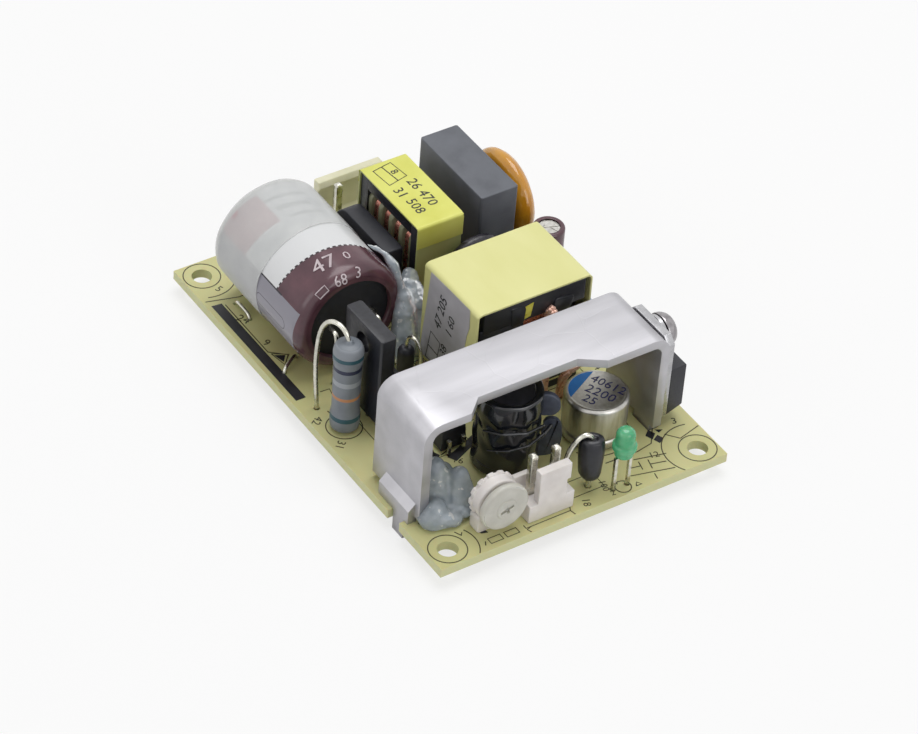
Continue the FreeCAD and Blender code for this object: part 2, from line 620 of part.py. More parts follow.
# The bridge rectifier: a slab with one clipped top corner that marks its plus lead
bridge = new_body("bridge")
half = s.bridge_width / 2
height = s.bridge_top - s.bridge_bottom
sketch = new_sketch(bridge, "XZ_Plane", -s.bridge_thickness / 2)
draw(sketch, [(-half, 0), (half, 0), (half, height), (-half + s.bridge_chamfer, height),
              (-half, height - s.bridge_chamfer)])
pad(bridge, sketch, s.bridge_thickness)
break_edges(bridge, s.bridge_edge, lambda edge: runs_along(edge, Vector(0, 0, 1)))
node(place(bridge, s.bridge_x, s.bridge_y, s.bridge_bottom), "bridge_rectifier_body")
spots = [(s.bridge_x + (i - 1.5) * s.bridge_lead_pitch, s.bridge_y) for i in range(4)]
group("bridge_rectifier_leads",
      straight_leads("bridge_lead", spots, s.bridge_lead_radius, s.bridge_bottom))


# The line choke's core: a closed ferrite frame with a middle post along X
choke_half = s.choke_tape_width / 2 - s.choke_tape_wall
choke_low = s.choke_bottom + s.choke_tape_wall
choke_high = s.choke_top - s.choke_tape_wall
choke_mid = (choke_low + choke_high) / 2
window_half = choke_half - s.choke_side_limb
post_half = s.choke_post / 2
core = new_body("choke_core")
sketch = new_sketch(core, "XZ_Plane", -s.choke_core_depth / 2)
draw_box(sketch, -choke_half, choke_half, choke_low, choke_high, cut=s.choke_corner)
draw_box(sketch, -window_half, window_half, choke_low + s.choke_limb, choke_mid - post_half)
draw_box(sketch, -window_half, window_half, choke_mid + post_half, choke_high - s.choke_limb)
pad(core, sketch, s.choke_core_depth)
node(place(core, s.choke_x, s.choke_y, 0), "line_choke_core")

# Its bobbin: a tube round the post, with five flanges, and a foot under each end
bobbin = new_body("choke_bobbin")
tube_half = post_half + s.fit_gap + s.choke_bobbin_wall
tube_depth = s.choke_core_depth / 2 + s.fit_gap + s.choke_bobbin_wall
hole_half = post_half + s.fit_gap
hole_depth = s.choke_core_depth / 2 + s.fit_gap
bobbin_half = window_half - s.fit_gap
flange_half = s.choke_flange_height / 2
sketch = new_sketch(bobbin, "YZ_Plane", -bobbin_half)
draw_box(sketch, -tube_depth, tube_depth, choke_mid - tube_half, choke_mid + tube_half)
draw_box(sketch, -hole_depth, hole_depth, choke_mid - hole_half, choke_mid + hole_half)
pad(bobbin, sketch, bobbin_half * 2)
flange_count = 5
flange_step = (bobbin_half * 2 - s.choke_flange) / (flange_count - 1)
flange_depth = s.choke_flange_depth / 2
for i in range(flange_count):
    sketch = new_sketch(bobbin, "YZ_Plane", -bobbin_half + i * flange_step)
    draw_box(sketch, -flange_depth, flange_depth, choke_mid - flange_half, choke_mid + flange_half)
    draw_box(sketch, -hole_depth, hole_depth, choke_mid - hole_half, choke_mid + hole_half)
    pad(bobbin, sketch, s.choke_flange)
bobbin_parts = [place(bobbin, s.choke_x, s.choke_y, 0)]

# Four winding sections between the flanges
windings = []
coil_depth = flange_depth - s.choke_winding_inset
coil_half = flange_half - s.choke_winding_inset
for i in range(flange_count - 1):
    coil = new_body("choke_coil_%d" % (i + 1))
    low = -bobbin_half + i * flange_step + s.choke_flange + s.fit_gap
    sketch = new_sketch(coil, "YZ_Plane", low)
    draw_box(sketch, -coil_depth, coil_depth, choke_mid - coil_half, choke_mid + coil_half,
             cut=s.choke_winding_inset)
    draw_box(sketch, -tube_depth - s.fit_gap, tube_depth + s.fit_gap,
             choke_mid - tube_half - s.fit_gap, choke_mid + tube_half + s.fit_gap)
    pad(coil, sketch, flange_step - s.choke_flange - s.fit_gap * 2)
    windings.append(place(coil, s.choke_x, s.choke_y, 0))
group("line_choke_windings", windings)

# The tape round the frame, and the pin base under it
tape = new_body("choke_tape")
sketch = new_sketch(tape, "XZ_Plane", -s.choke_tape_depth / 2)
draw_box(sketch, -s.choke_tape_width / 2, s.choke_tape_width / 2, s.choke_bottom, s.choke_top,
         cut=s.choke_corner + s.choke_tape_wall / 2)
draw_box(sketch, -choke_half - s.fit_gap, choke_half + s.fit_gap, choke_low - s.fit_gap,
         choke_high + s.fit_gap, cut=s.choke_corner)
pad(tape, sketch, s.choke_tape_depth)
node(place(tape, s.choke_x, s.choke_y, 0), "line_choke_tape")
for side in (-1, 1):
    start = s.choke_x + side * s.choke_pin_spacing_x / 2 - s.choke_foot_length / 2
    bobbin_parts.append(block("choke_foot_%d" % (side + 2), start,
                              s.choke_y - s.choke_flange_depth / 2, top, s.choke_foot_length,
                              s.choke_flange_depth, s.choke_bottom - top))
group("line_choke_bobbin", bobbin_parts)
spots = [(s.choke_x + i * s.choke_pin_spacing_x / 2, s.choke_y + j * s.choke_pin_spacing_y / 2)
         for i in (-1, 1) for j in (-1, 1)]
winding_pins += straight_leads("line_choke_pin", spots, s.choke_pin_radius, top)


# The film capacitor: a moulded box on four corner feet
film = new_body("film")
film_half = s.film_length / 2
film_bottom = top + s.film_foot
sketch = new_sketch(film, "XY_Plane", film_bottom)
draw_box(sketch, -film_half, film_half, -s.film_width / 2, s.film_width / 2, cut=s.film_edge)
pad(film, sketch, s.film_top - film_bottom)
for side in (-1, 1):
    for across in (-1, 1):
        sketch = new_sketch(film, "XY_Plane", top)
        corner_x = side * (film_half - s.film_foot_length)
        corner_y = across * (s.film_width / 2 - s.film_foot_length)
        draw_box(sketch, corner_x - s.film_foot, corner_x + s.film_foot,
                 corner_y - s.film_foot, corner_y + s.film_foot)
        pad(film, sketch, s.film_foot * 2)
node(place(film, s.film_x, s.film_y, 0), "film_capacitor_case")
radial_leads += straight_leads("film_lead", pair(s.film_x, s.film_y, s.film_lead_pitch),
                               s.film_lead_radius, film_bottom)


# The varistor behind the film capacitor: a dipped disc that faces Y
varistor = coated_disc("varistor", s.varistor_radius, s.varistor_thickness, s.varistor_edge,
                       s.varistor_skirt, s.varistor_lead_pitch, s.dipped_coat)
node(place(varistor, s.varistor_x, s.varistor_y, s.varistor_height, 90), "varistor_disc")
radial_leads += straight_leads(
    "varistor_lead", pair(s.varistor_x, s.varistor_y, s.varistor_lead_pitch),
    s.varistor_lead_radius, s.varistor_height - s.varistor_radius - s.varistor_skirt)


def square_pins(label, spots, side, top_height):
    """Square header pins with a chamfered tip."""
    parts = []
    for i, (x, y) in enumerate(spots):
        body = new_body("%s_%d" % (label, i + 1))
        sketch = new_sketch(body, "XY_Plane")
        draw_box(sketch, -side / 2, side / 2, -side / 2, side / 2)
        pad(body, sketch, top_height)
        doc.recompute()
        shaft = body.Tip
        edges = ["Edge%d" % (n + 1) for n, edge in enumerate(shaft.Shape.Edges)
                 if edge.BoundBox.ZMin > top_height.value - 1e-3]
        point = body.newObject("PartDesign::Chamfer", body.Name + "_point")
        point.Base = (shaft, edges)
        bind(point, "Size", s.header_pin_point)
        parts.append(place(body, x, y, 0))
        lead_spot(x, y, side * 0.71)
    return group(label, parts)


def pin_holes(body, spots, side):
    """Square holes up through a header's base, around its pins."""
    doc.recompute()
    sketch = new_sketch(body, "XY_Plane", 0)
    half = side / 2 + s.fit_gap
    for x, y in spots:
        draw_box(sketch, x - half, x + half, y - half, y + half)
    pocket(body, sketch, s.inlet_wall_top, reverse=True)


# The mains inlet header: an L-shaped moulding whose wall has a latching nub
inlet = new_body("inlet")
back = -s.inlet_depth / 2
wall = back + s.inlet_wall
sketch = new_sketch(inlet, "XZ_Plane", -s.inlet_width / 2)
draw(sketch, [(back, 0), (s.inlet_depth / 2, 0), (s.inlet_depth / 2, s.inlet_base_height),
              (wall, s.inlet_base_height), (wall, s.inlet_wall_top - top - s.inlet_nub * 3),
              (wall + s.inlet_nub, s.inlet_wall_top - top - s.inlet_nub * 1.5),
              (wall, s.inlet_wall_top - top), (back, s.inlet_wall_top - top)])
pad(inlet, sketch, s.inlet_width)
pin_x = s.inlet_pin_x - s.inlet_x
half_gap = s.inlet_pin_spacing / 2
pin_holes(inlet, [(pin_x, -half_gap), (pin_x, half_gap)], s.header_pin_side)
node(place(inlet, s.inlet_x, s.inlet_y, top), "inlet_header_housing")
square_pins("inlet_header_pins", pair(s.inlet_pin_x, s.inlet_y, s.inlet_pin_spacing, "y"),
            s.header_pin_side, s.header_pin_top)


# The fuse: a small moulded cap on two leads
fuse = new_body("fuse")
sketch = new_sketch(fuse, "XY_Plane")
draw_box(sketch, -s.fuse_width / 2, s.fuse_width / 2, -s.fuse_length / 2, s.fuse_length / 2,
         cut=s.fuse_edge * 1.5)
pad(fuse, sketch, s.fuse_height)
break_edges(fuse, s.fuse_edge, lambda edge: edge.BoundBox.ZMin > s.fuse_height.value - 1e-6)
node(place(fuse, s.fuse_x, s.fuse_y, top + s.fuse_lift), "fuse_body")
radial_leads += straight_leads("fuse_lead", pair(s.fuse_x, s.fuse_y, s.fuse_lead_pitch, "y"),
                               s.fuse_lead_radius, top + s.fuse_lift)


# The inrush thermistor: a dipped disc that faces X
thermistor = coated_disc("thermistor", s.thermistor_radius, s.thermistor_thickness,
                         s.thermistor_edge, s.thermistor_skirt, s.thermistor_lead_pitch,
                         s.dipped_coat)
node(place(thermistor, s.thermistor_x, s.thermistor_y, s.thermistor_height),
     "inrush_thermistor_disc")
radial_leads += straight_leads(
    "thermistor_lead", pair(s.thermistor_x, s.thermistor_y, s.thermistor_lead_pitch, "y"),
    s.thermistor_lead_radius, s.thermistor_height - s.thermistor_radius - s.thermistor_skirt)


# The transformer's core: a pair of E halves read as one frame with a middle post
core_half = s.transformer_length / 2 - s.transformer_tape_wall
core_low = s.transformer_core_bottom
core_high = s.transformer_top - s.transformer_tape_wall
core_depth = s.transformer_core_depth / 2
post_side = s.transformer_post / 2
window_side = core_half - s.transformer_limb
window_low = core_low + s.transformer_limb
window_high = core_high - s.transformer_limb
core = new_body("transformer_core")
sketch = new_sketch(core, "YZ_Plane", -core_depth)
draw_box(sketch, -core_half, core_half, core_low, core_high,
         cut=s.transformer_edge - s.transformer_tape_wall)
draw_box(sketch, -window_side, -post_side, window_low, window_high)
draw_box(sketch, post_side, window_side, window_low, window_high)
pad(core, sketch, s.transformer_core_depth)
node(place(core, s.transformer_x, s.transformer_y, 0), "transformer_core")

# Its bobbin: a tube round the post, two flanges, and rails beside the core's limbs
bobbin = new_body("transformer_bobbin")
rail_in = core_depth + s.fit_gap
rail_out = s.transformer_depth / 2
wall = s.transformer_bobbin_wall
tube_x = rail_in + wall
tube_y = post_side + s.fit_gap + wall
plate_y = window_side - s.fit_gap
rail_y = core_half - s.transformer_edge
low_plate = window_low + s.fit_gap
high_plate = window_high - s.fit_gap - wall
sketch = new_sketch(bobbin, "XY_Plane", low_plate)
draw_box(sketch, -tube_x, tube_x, -tube_y, tube_y)
draw_box(sketch, -rail_in, rail_in, -tube_y + wall, tube_y - wall)
pad(bobbin, sketch, high_plate - low_plate + wall)
for level in (low_plate, high_plate):
    sketch = new_sketch(bobbin, "XY_Plane", level)
    draw_box(sketch, -rail_out, rail_out, -plate_y, plate_y)
    draw_box(sketch, -rail_in, rail_in, -tube_y + wall, tube_y - wall)
    pad(bobbin, sketch, wall)
for level, rise in ((top, low_plate + wall - top), (high_plate, core_high - high_plate)):
    for start in (-rail_out, rail_in):
        sketch = new_sketch(bobbin, "XY_Plane", level)
        draw_box(sketch, start, start + rail_out - rail_in, -rail_y, rail_y)
        pad(bobbin, sketch, rise)
node(place(bobbin, s.transformer_x, s.transformer_y, 0), "transformer_bobbin")

# The wound coil, with its outer wrap
coil = new_body("transformer_coil")
coil_x = rail_out - s.transformer_coil_inset
coil_y = plate_y - s.transformer_coil_gap
sketch = new_sketch(coil, "XY_Plane", low_plate + wall + s.fit_gap)
draw_box(sketch, -coil_x, coil_x, -coil_y, coil_y, s.transformer_coil_corner)
draw_box(sketch, -tube_x - s.fit_gap, tube_x + s.fit_gap, -tube_y - s.fit_gap, tube_y + s.fit_gap)
pad(coil, sketch, high_plate - low_plate - wall - s.fit_gap * 2)
node(place(coil, s.transformer_x, s.transformer_y, 0), "transformer_windings")

# The tape over its top and down its two long sides
tape = new_body("transformer_tape")
sketch = new_sketch(tape, "YZ_Plane", -s.transformer_depth / 2)
outer = s.transformer_length / 2
inner = core_half + s.fit_gap
draw(sketch, [(-outer, core_low), (-inner, core_low),
              (-inner, core_high + s.fit_gap, s.transformer_edge - s.transformer_tape_wall),
              (inner, core_high + s.fit_gap, s.transformer_edge - s.transformer_tape_wall),
              (inner, core_low), (outer, core_low),
              (outer, s.transformer_top, s.transformer_edge),
              (-outer, s.transformer_top, s.transformer_edge)])
pad(tape, sketch, s.transformer_depth)
node(place(tape, s.transformer_x, s.transformer_y, 0), "transformer_tape")
spots = [(s.transformer_x + side * s.transformer_pin_row / 2,
          s.transformer_y + (i - 1.5) * s.transformer_pin_pitch) for side in (-1, 1) for i in range(4)]
winding_pins += straight_leads("transformer_pin", spots, s.transformer_pin_radius, top)
group("winding_pins", winding_pins)
flying = []
for i, (x, y) in enumerate(pair(s.flying_lead_x, s.flying_lead_y, s.flying_lead_pitch, "y")):
    reach = s.flying_lead_x - s.transformer_x - coil_x
    lead = bent_wire("flying_lead_%d" % (i + 1), [
        (0, 0), (0, s.flying_lead_height, s.flying_lead_bend), (-reach, s.flying_lead_height)],
        s.flying_lead_radius)
    flying.append(place(lead, x, y, 0))
    lead_spot(x, y, s.flying_lead_radius)
group("transformer_flying_leads", flying)


# The auxiliary supply capacitor: can with its crimp, shrink sleeve and leads
aux_height = s.aux_top - s.aux_bottom
aux_can = turned("aux_can", [(0, 0), (s.aux_radius, 0), (s.aux_radius, aux_height),
                             (0, aux_height)])
node(place(aux_can, s.aux_x, s.aux_y, s.aux_bottom), "auxiliary_capacitor_can")
aux_in = s.aux_radius + s.fit_gap
aux_out = aux_in + s.aux_sleeve_wall
aux_rise = aux_height + s.fit_gap
aux_sleeve = turned("aux_sleeve", [
    (aux_in, 0), (aux_out, 0),
    (aux_out, aux_rise + s.aux_sleeve_wall, s.aux_edge),
    (aux_out - s.aux_lip, aux_rise + s.aux_sleeve_wall), (aux_out - s.aux_lip, aux_rise),
    (aux_in, aux_rise)])
node(place(aux_sleeve, s.aux_x, s.aux_y, s.aux_bottom), "auxiliary_capacitor_sleeve")
radial_leads += straight_leads("aux_lead", pair(s.aux_x, s.aux_y, s.aux_lead_pitch),
                               s.aux_lead_radius, s.aux_bottom)


# The safety capacitor behind the transformer
safety = coated_disc("safety", s.safety_radius, s.safety_thickness, s.safety_edge,
                     s.safety_skirt, s.safety_lead_pitch - s.dipped_coat, s.dipped_coat)
node(place(safety, s.safety_x, s.safety_y, s.safety_height, 90), "safety_capacitor_disc")
radial_leads += straight_leads(
    "safety_lead", pair(s.safety_x, s.safety_y, s.safety_lead_pitch - s.dipped_coat),
    s.safety_lead_radius, s.safety_height - s.safety_radius - s.safety_skirt)


def drafted_block(name, half_x, half_y, height, draft):
    """A moulded block that narrows towards its top, on its own XY plane."""
    body = new_body(name)
    low = draw_box(new_sketch(body, "XY_Plane"), -half_x, half_x, -half_y, half_y)
    high = draw_box(new_sketch(body, "XY_Plane", height), -half_x + draft, half_x - draft,
                    -half_y + draft, half_y - draft)
    loft = body.newObject("PartDesign::AdditiveLoft", body.Name + "_loft")
    loft.Profile = low
    loft.Sections = [high]
    loft.Ruled = True
    return body


# The optocoupler that carries the feedback across the gap
coupler = drafted_block("coupler", s.coupler_length / 2, s.coupler_width / 2, s.coupler_height,
                        s.coupler_draft)
node(place(coupler, s.coupler_x, s.coupler_y, top + s.coupler_lift), "optocoupler_body")
leg_out = (s.coupler_row + s.coupler_lead_thickness) / 2
leg_in = leg_out - s.coupler_lead_thickness
leg_level = top + s.coupler_lift + s.coupler_lead_level
for side in (0, 1):
    for i in (-1, 1):
        leg = new_body("coupler_leg")
        sketch = new_sketch(leg, "XZ_Plane", -s.coupler_lead_width / 2)
        inner = s.coupler_length / 2
        draw(sketch, [(leg_in, 0), (leg_out, 0), (leg_out, leg_level), (inner, leg_level),
                      (inner, leg_level - s.coupler_lead_thickness),
                      (leg_in, leg_level - s.coupler_lead_thickness)])
        pad(leg, sketch, s.coupler_lead_width)
        leg_y = s.coupler_y + i * s.coupler_lead_pitch / 2
        chip_legs.append(place(leg, s.coupler_x, leg_y, 0, 180.0 * side))
        turn = 1 - 2 * side
        lead_spot(s.coupler_x + turn * s.coupler_row / 2, leg_y, s.coupler_lead_width * 0.6)


# The clamp diode by the transformer, standing on end
clamp = turned("clamp", [(0, 0), (s.clamp_radius, 0), (s.clamp_radius, s.clamp_length),
                         (0, s.clamp_length)])
node(place(clamp, s.clamp_x, s.clamp_y, top + s.clamp_lift), "clamp_diode_body")
looped_leads("clamp_diode_leads", s.clamp_x, s.clamp_y, top + s.clamp_lift, s.clamp_length,
             s.clamp_loop, s.clamp_loop_angle.value, s.clamp_loop_rise, s.clamp_loop_bend,
             s.clamp_lead_radius)


# The heatsink: one sheet folded down at both sides, with a foot on each leg
sink = new_body("heatsink")
left = s.heatsink_left_y
right = s.heatsink_right_y
sheet_wall = s.heatsink_sheet
outer_bend = s.heatsink_bend + sheet_wall
foot_depth = -s.lead_tip_depth
sketch = new_sketch(sink, "YZ_Plane")
draw(sketch, [(left, s.heatsink_leg_bottom), (left, s.heatsink_top, outer_bend),
              (right, s.heatsink_top, outer_bend), (right, s.heatsink_leg_bottom),
              (right - sheet_wall, s.heatsink_leg_bottom),
              (right - sheet_wall, s.heatsink_top - sheet_wall, s.heatsink_bend),
              (left + sheet_wall, s.heatsink_top - sheet_wall, s.heatsink_bend),
              (left + sheet_wall, s.heatsink_leg_bottom)])
pad(sink, sketch, s.heatsink_depth)

# The stepped-back front edge that leaves room above the output parts
sketch = new_sketch(sink, "XY_Plane", s.heatsink_top + sheet_wall)
recess_x = s.heatsink_depth - s.recess_depth
draw(sketch, [(recess_x, s.recess_left_y), (recess_x, s.recess_right_y),
              (s.heatsink_depth, s.recess_right_y + s.recess_right_slant),
              (s.heatsink_depth + sheet_wall, s.recess_right_y + s.recess_right_slant),
              (s.heatsink_depth + sheet_wall, s.recess_left_y - s.recess_left_slant),
              (s.heatsink_depth, s.recess_left_y - s.recess_left_slant)])
pocket(sink, sketch, sheet_wall * 3)

# The left foot: a strip of the leg set outwards, with a tip through the board's edge
tab_x = s.left_tab_x - s.heatsink_back_x
sketch = new_sketch(sink, "XZ_Plane", sheet_wall - left)
draw_box(sketch, tab_x, tab_x + s.left_tab_width, s.heatsink_leg_bottom - sheet_wall,
         s.left_tab_start)
pocket(sink, sketch, sheet_wall * 3)
sketch = new_sketch(sink, "YZ_Plane", tab_x)
joggle = s.left_tab_joggle
draw(sketch, [(left, s.left_tab_start), (left - joggle, s.left_tab_start - joggle),
              (left - joggle, top), (left - joggle + sheet_wall, top),
              (left - joggle + sheet_wall, s.left_tab_start - joggle * 1.5),
              (left + sheet_wall, s.left_tab_start - joggle * 0.5),
              (left + sheet_wall, s.left_tab_start)])
pad(sink, sketch, s.left_tab_width)
sketch = new_sketch(sink, "YZ_Plane", s.left_tip_x - s.heatsink_back_x)
draw_box(sketch, left - joggle, left - joggle + sheet_wall, foot_depth, top)
pad(sink, sketch, s.left_tip_width)

# The right foot, and the tapped hole for the rectifier's screw
sketch = new_sketch(sink, "YZ_Plane", s.right_tab_x - s.heatsink_back_x)
draw_box(sketch, right - sheet_wall, right, foot_depth, s.heatsink_leg_bottom)
pad(sink, sketch, s.right_tab_width)
screw_z = s.rectifier_top - s.rectifier_hole_drop
sketch = new_sketch(sink, "XZ_Plane", sheet_wall * 2 - right)
draw_circle(sketch, s.rectifier_x - s.heatsink_back_x, screw_z, s.screw_radius + s.fit_gap)
pocket(sink, sketch, sheet_wall * 3)
node(place(sink, s.heatsink_back_x, 0, 0), "heatsink")


# The output rectifier: a copper tab behind a drafted moulding, on the right leg
tab = new_body("rectifier_tab")
half = s.rectifier_width / 2
clip = s.rectifier_notch
sketch = new_sketch(tab, "XZ_Plane", -s.rectifier_tab)
draw(sketch, [(-half, s.rectifier_bottom), (half, s.rectifier_bottom), (half, s.rectifier_top - clip),
              (half - clip, s.rectifier_top), (-half + clip, s.rectifier_top),
              (-half, s.rectifier_top - clip)])
pad(tab, sketch, s.rectifier_tab)
sketch = new_sketch(tab, "XZ_Plane", 0)
draw_circle(sketch, 0, screw_z, s.rectifier_hole_radius)
pocket(tab, sketch, s.rectifier_tab * 2)
node(place(tab, s.rectifier_x, right, 0), "output_rectifier_tab")
case = new_body("rectifier_case")
case_high = s.rectifier_body_top
outlines = []
for out, shrink in ((0, 0), (s.rectifier_body_thickness, s.rectifier_draft)):
    outline = new_sketch(case, "XZ_Plane", -out)
    draw_box(outline, -half + shrink, half - shrink, s.rectifier_bottom + shrink, case_high - shrink)
    outlines.append(outline)
loft = case.newObject("PartDesign::AdditiveLoft", "rectifier_case_loft")
loft.Profile = outlines[0]
loft.Sections = [outlines[1]]
loft.Ruled = True
node(place(case, s.rectifier_x, right + s.rectifier_tab, 0), "output_rectifier_body")
power_leads += flat_leads("rectifier_lead", s.rectifier_x, right + s.rectifier_lead_inset,
                          s.rectifier_bottom)
group("power_device_leads", power_leads)

# Its screw and split spring washer, with their axis along Y
tail = s.rectifier_tab + sheet_wall + s.screw_tail
head = s.washer_thickness + s.screw_head_height
screw = turned("screw", [
    (-tail, 0), (-tail, s.screw_radius), (s.washer_thickness, s.screw_radius),
    (s.washer_thickness, s.screw_head_radius), (head, s.screw_head_radius, s.screw_head_round),
    (head, 0)], along_x=True)
node(place(screw, s.rectifier_x, right + s.rectifier_tab, screw_z, 90), "rectifier_screw")
washer = turned("washer", [
    (0, s.screw_radius + s.washer_gap), (0, s.washer_radius),
    (s.washer_thickness, s.washer_radius), (s.washer_thickness, s.screw_radius + s.washer_gap)],
    along_x=True)
sketch = new_sketch(washer, "YZ_Plane", 0)
draw_box(sketch, -s.washer_gap * 2, s.washer_gap * 2, 0, s.washer_radius * 2)
pocket(washer, sketch, s.washer_radius, reverse=True)
node(place(washer, s.rectifier_x, right + s.rectifier_tab, screw_z, 90), "rectifier_spring_washer")


# The output choke: a drum core, its winding and the shrink tube round both
drum_bottom = top + s.drum_lift + s.fit_gap
drum = turned("drum", [
    (0, 0), (s.drum_radius, 0), (s.drum_radius, s.drum_flange), (s.drum_post, s.drum_flange),
    (s.drum_post, s.drum_height - s.drum_flange), (s.drum_radius, s.drum_height - s.drum_flange),
    (s.drum_radius, s.drum_height), (0, s.drum_height)])
node(place(drum, s.drum_x, s.drum_y, drum_bottom), "output_choke_core")
coil_in = s.drum_post + s.fit_gap
coil_out = s.drum_radius - s.drum_winding_inset
coil_low = s.drum_flange + s.fit_gap
coil_high = s.drum_height - s.drum_flange - s.fit_gap
winding = turned("drum_winding", [(coil_in, coil_low), (coil_out, coil_low), (coil_out, coil_high),
                                  (coil_in, coil_high)])
node(place(winding, s.drum_x, s.drum_y, drum_bottom), "output_choke_winding")
tube_in = s.drum_radius + s.fit_gap
tube_out = tube_in + s.drum_tube_wall
tube_low = -s.fit_gap
tube_high = s.drum_height + s.fit_gap + s.drum_tube_wall
tube_lip = tube_out - s.drum_tube_lip
drum_tube = turned("drum_tube", [
    (tube_in, tube_low), (tube_out, tube_low), (tube_out, tube_high, s.drum_tube_wall),
    (tube_lip, tube_high), (tube_lip, tube_high - s.drum_tube_wall),
    (tube_in, tube_high - s.drum_tube_wall)])
node(place(drum_tube, s.drum_x, s.drum_y, drum_bottom), "output_choke_tube")
group("output_choke_leads",
      straight_leads("drum_lead", pair(s.drum_x, s.drum_y, s.drum_lead_pitch, "y"),
                     s.drum_lead_radius, drum_bottom))


# The output capacitor: a low aluminium can with a rubber bung
can_height = s.output_top - top - s.output_seat
mouth = s.output_radius - s.output_bung_inset
mouth_height = s.output_bung - s.output_seat
output_can = turned("output_can", [
    (0, mouth_height), (mouth, mouth_height), (mouth, 0), (s.output_radius, 0),
    (s.output_radius, s.output_groove - s.output_groove_depth),
    (s.output_radius - s.output_groove_depth, s.output_groove),
    (s.output_radius, s.output_groove + s.output_groove_depth),
    (s.output_radius, can_height, s.output_edge), (0, can_height)])
node(place(output_can, s.output_x, s.output_y, top + s.output_seat), "output_capacitor_can")
output_bung = turned("output_bung", [
    (0, 0), (mouth - s.fit_gap, 0), (mouth - s.fit_gap, s.output_bung), (0, s.output_bung)])
node(place(output_bung, s.output_x, s.output_y, top), "output_capacitor_bung")
radial_leads += straight_leads("output_lead", pair(s.output_x, s.output_y, s.output_lead_pitch),
                               s.output_lead_radius, top)


# The power lamp: a flanged lens on two square legs
dome_rise = s.lamp_radius * 0.9
dome = s.lamp_height - dome_rise
lens = turned("lens", [
    (0, 0), (s.lamp_flange_radius, 0), (s.lamp_flange_radius, s.lamp_flange),
    (s.lamp_radius, s.lamp_flange), (s.lamp_radius, dome), (s.lamp_radius * 0.8, dome + dome_rise * 0.6),
    (s.lamp_radius * 0.4, s.lamp_height), (0, s.lamp_height)])
node(place(lens, s.lamp_x, s.lamp_y, s.lamp_bottom), "power_lamp_lens")
legs = []
for i, (x, y) in enumerate(pair(s.lamp_x, s.lamp_y, s.lamp_lead_pitch, "y")):
    side = s.lamp_lead_side
    legs.append(block("lamp_leg_%d" % (i + 1), x - side / 2, y - side / 2, 0, side, side,
                      s.lamp_bottom))
    lead_spot(x, y, side * 0.71)
group("power_lamp_leads", legs)


# The output diode, standing on end beside the header
diode = turned("diode", [(0, 0), (s.diode_radius, 0), (s.diode_radius, s.diode_length),
                         (0, s.diode_length)])
node(place(diode, s.diode_x, s.diode_y, s.diode_bottom), "output_diode_body")
looped_leads("output_diode_leads", s.diode_x, s.diode_y, s.diode_bottom, s.diode_length,
             s.diode_loop, s.diode_loop_angle.value, s.diode_loop_rise, s.diode_loop_bend,
             s.diode_lead_radius)


# The output header: base, keyed front block with an ear, and a low sloping back wall
outlet = new_body("outlet")
half_x = s.outlet_depth / 2
half_y = s.outlet_width / 2
sketch = new_sketch(outlet, "XY_Plane")
draw_box(sketch, -half_x, half_x, -half_y, half_y)
pad(outlet, sketch, s.outlet_base_height)
key_half = s.outlet_key_width / 2
key_top = s.outlet_key_top - top
sketch = new_sketch(outlet, "YZ_Plane", half_x - s.outlet_key_thickness)
draw(sketch, [(-key_half, 0), (key_half, 0), (key_half, key_top - s.outlet_ear_height),
              (key_half + s.outlet_ear, key_top - s.outlet_ear_height),
              (key_half + s.outlet_ear, key_top), (-key_half, key_top)])
pad(outlet, sketch, s.outlet_key_thickness)
back_top = s.outlet_back_top - top
sketch = new_sketch(outlet, "YZ_Plane", -half_x)
draw(sketch, [(-half_y, 0), (s.outlet_back_width - half_y, 0),
              (s.outlet_back_width - half_y, back_top - s.outlet_back_slope),
              (-half_y + s.outlet_back_slope * 2, back_top), (-half_y, back_top)])
pad(outlet, sketch, s.outlet_back_thickness)
pin_x = s.outlet_pin_x - s.outlet_x
pin_y = s.outlet_pin_y - s.outlet_y
half_gap = s.outlet_pin_spacing / 2
pin_holes(outlet, [(pin_x, pin_y - half_gap), (pin_x, pin_y + half_gap)], s.header_pin_side)
node(place(outlet, s.outlet_x, s.outlet_y, top), "output_header_housing")
square_pins("output_header_pins", pair(s.outlet_pin_x, s.outlet_pin_y, s.outlet_pin_spacing, "y"),
            s.header_pin_side, s.header_pin_top)


# The voltage trimmer: a shouldered body with a bore, and the rotor that turns in it
trimmer = new_body("trimmer")
half = s.trimmer_body_width / 2
sketch = new_sketch(trimmer, "YZ_Plane")
draw(sketch, [(-half, top), (half, top), (half, s.trimmer_body_top, s.trimmer_corner),
              (-half, s.trimmer_body_top, s.trimmer_corner)])
pad(trimmer, sketch, s.trimmer_body_depth)
sketch = new_sketch(trimmer, "YZ_Plane", s.trimmer_body_depth)
draw_circle(sketch, 0, s.trimmer_axis_height, s.trimmer_shaft_radius + s.trimmer_shaft_gap)
pocket(trimmer, sketch, s.trimmer_shaft_depth + s.trimmer_shaft_gap)
node(place(trimmer, s.trimmer_x, s.trimmer_y, 0), "trimmer_body")
disc_front = s.trimmer_rotor_gap + s.trimmer_rotor_thickness
boss_front = disc_front + s.trimmer_boss_depth
rotor = turned("rotor", [
    (-s.trimmer_shaft_depth, 0), (-s.trimmer_shaft_depth, s.trimmer_shaft_radius),
    (s.trimmer_rotor_gap, s.trimmer_shaft_radius), (s.trimmer_rotor_gap, s.trimmer_rotor_radius),
    (disc_front, s.trimmer_rotor_radius), (disc_front, s.trimmer_boss_radius),
    (boss_front, s.trimmer_boss_radius), (boss_front, 0)], along_x=True)
sketch = new_sketch(rotor, "YZ_Plane", boss_front)
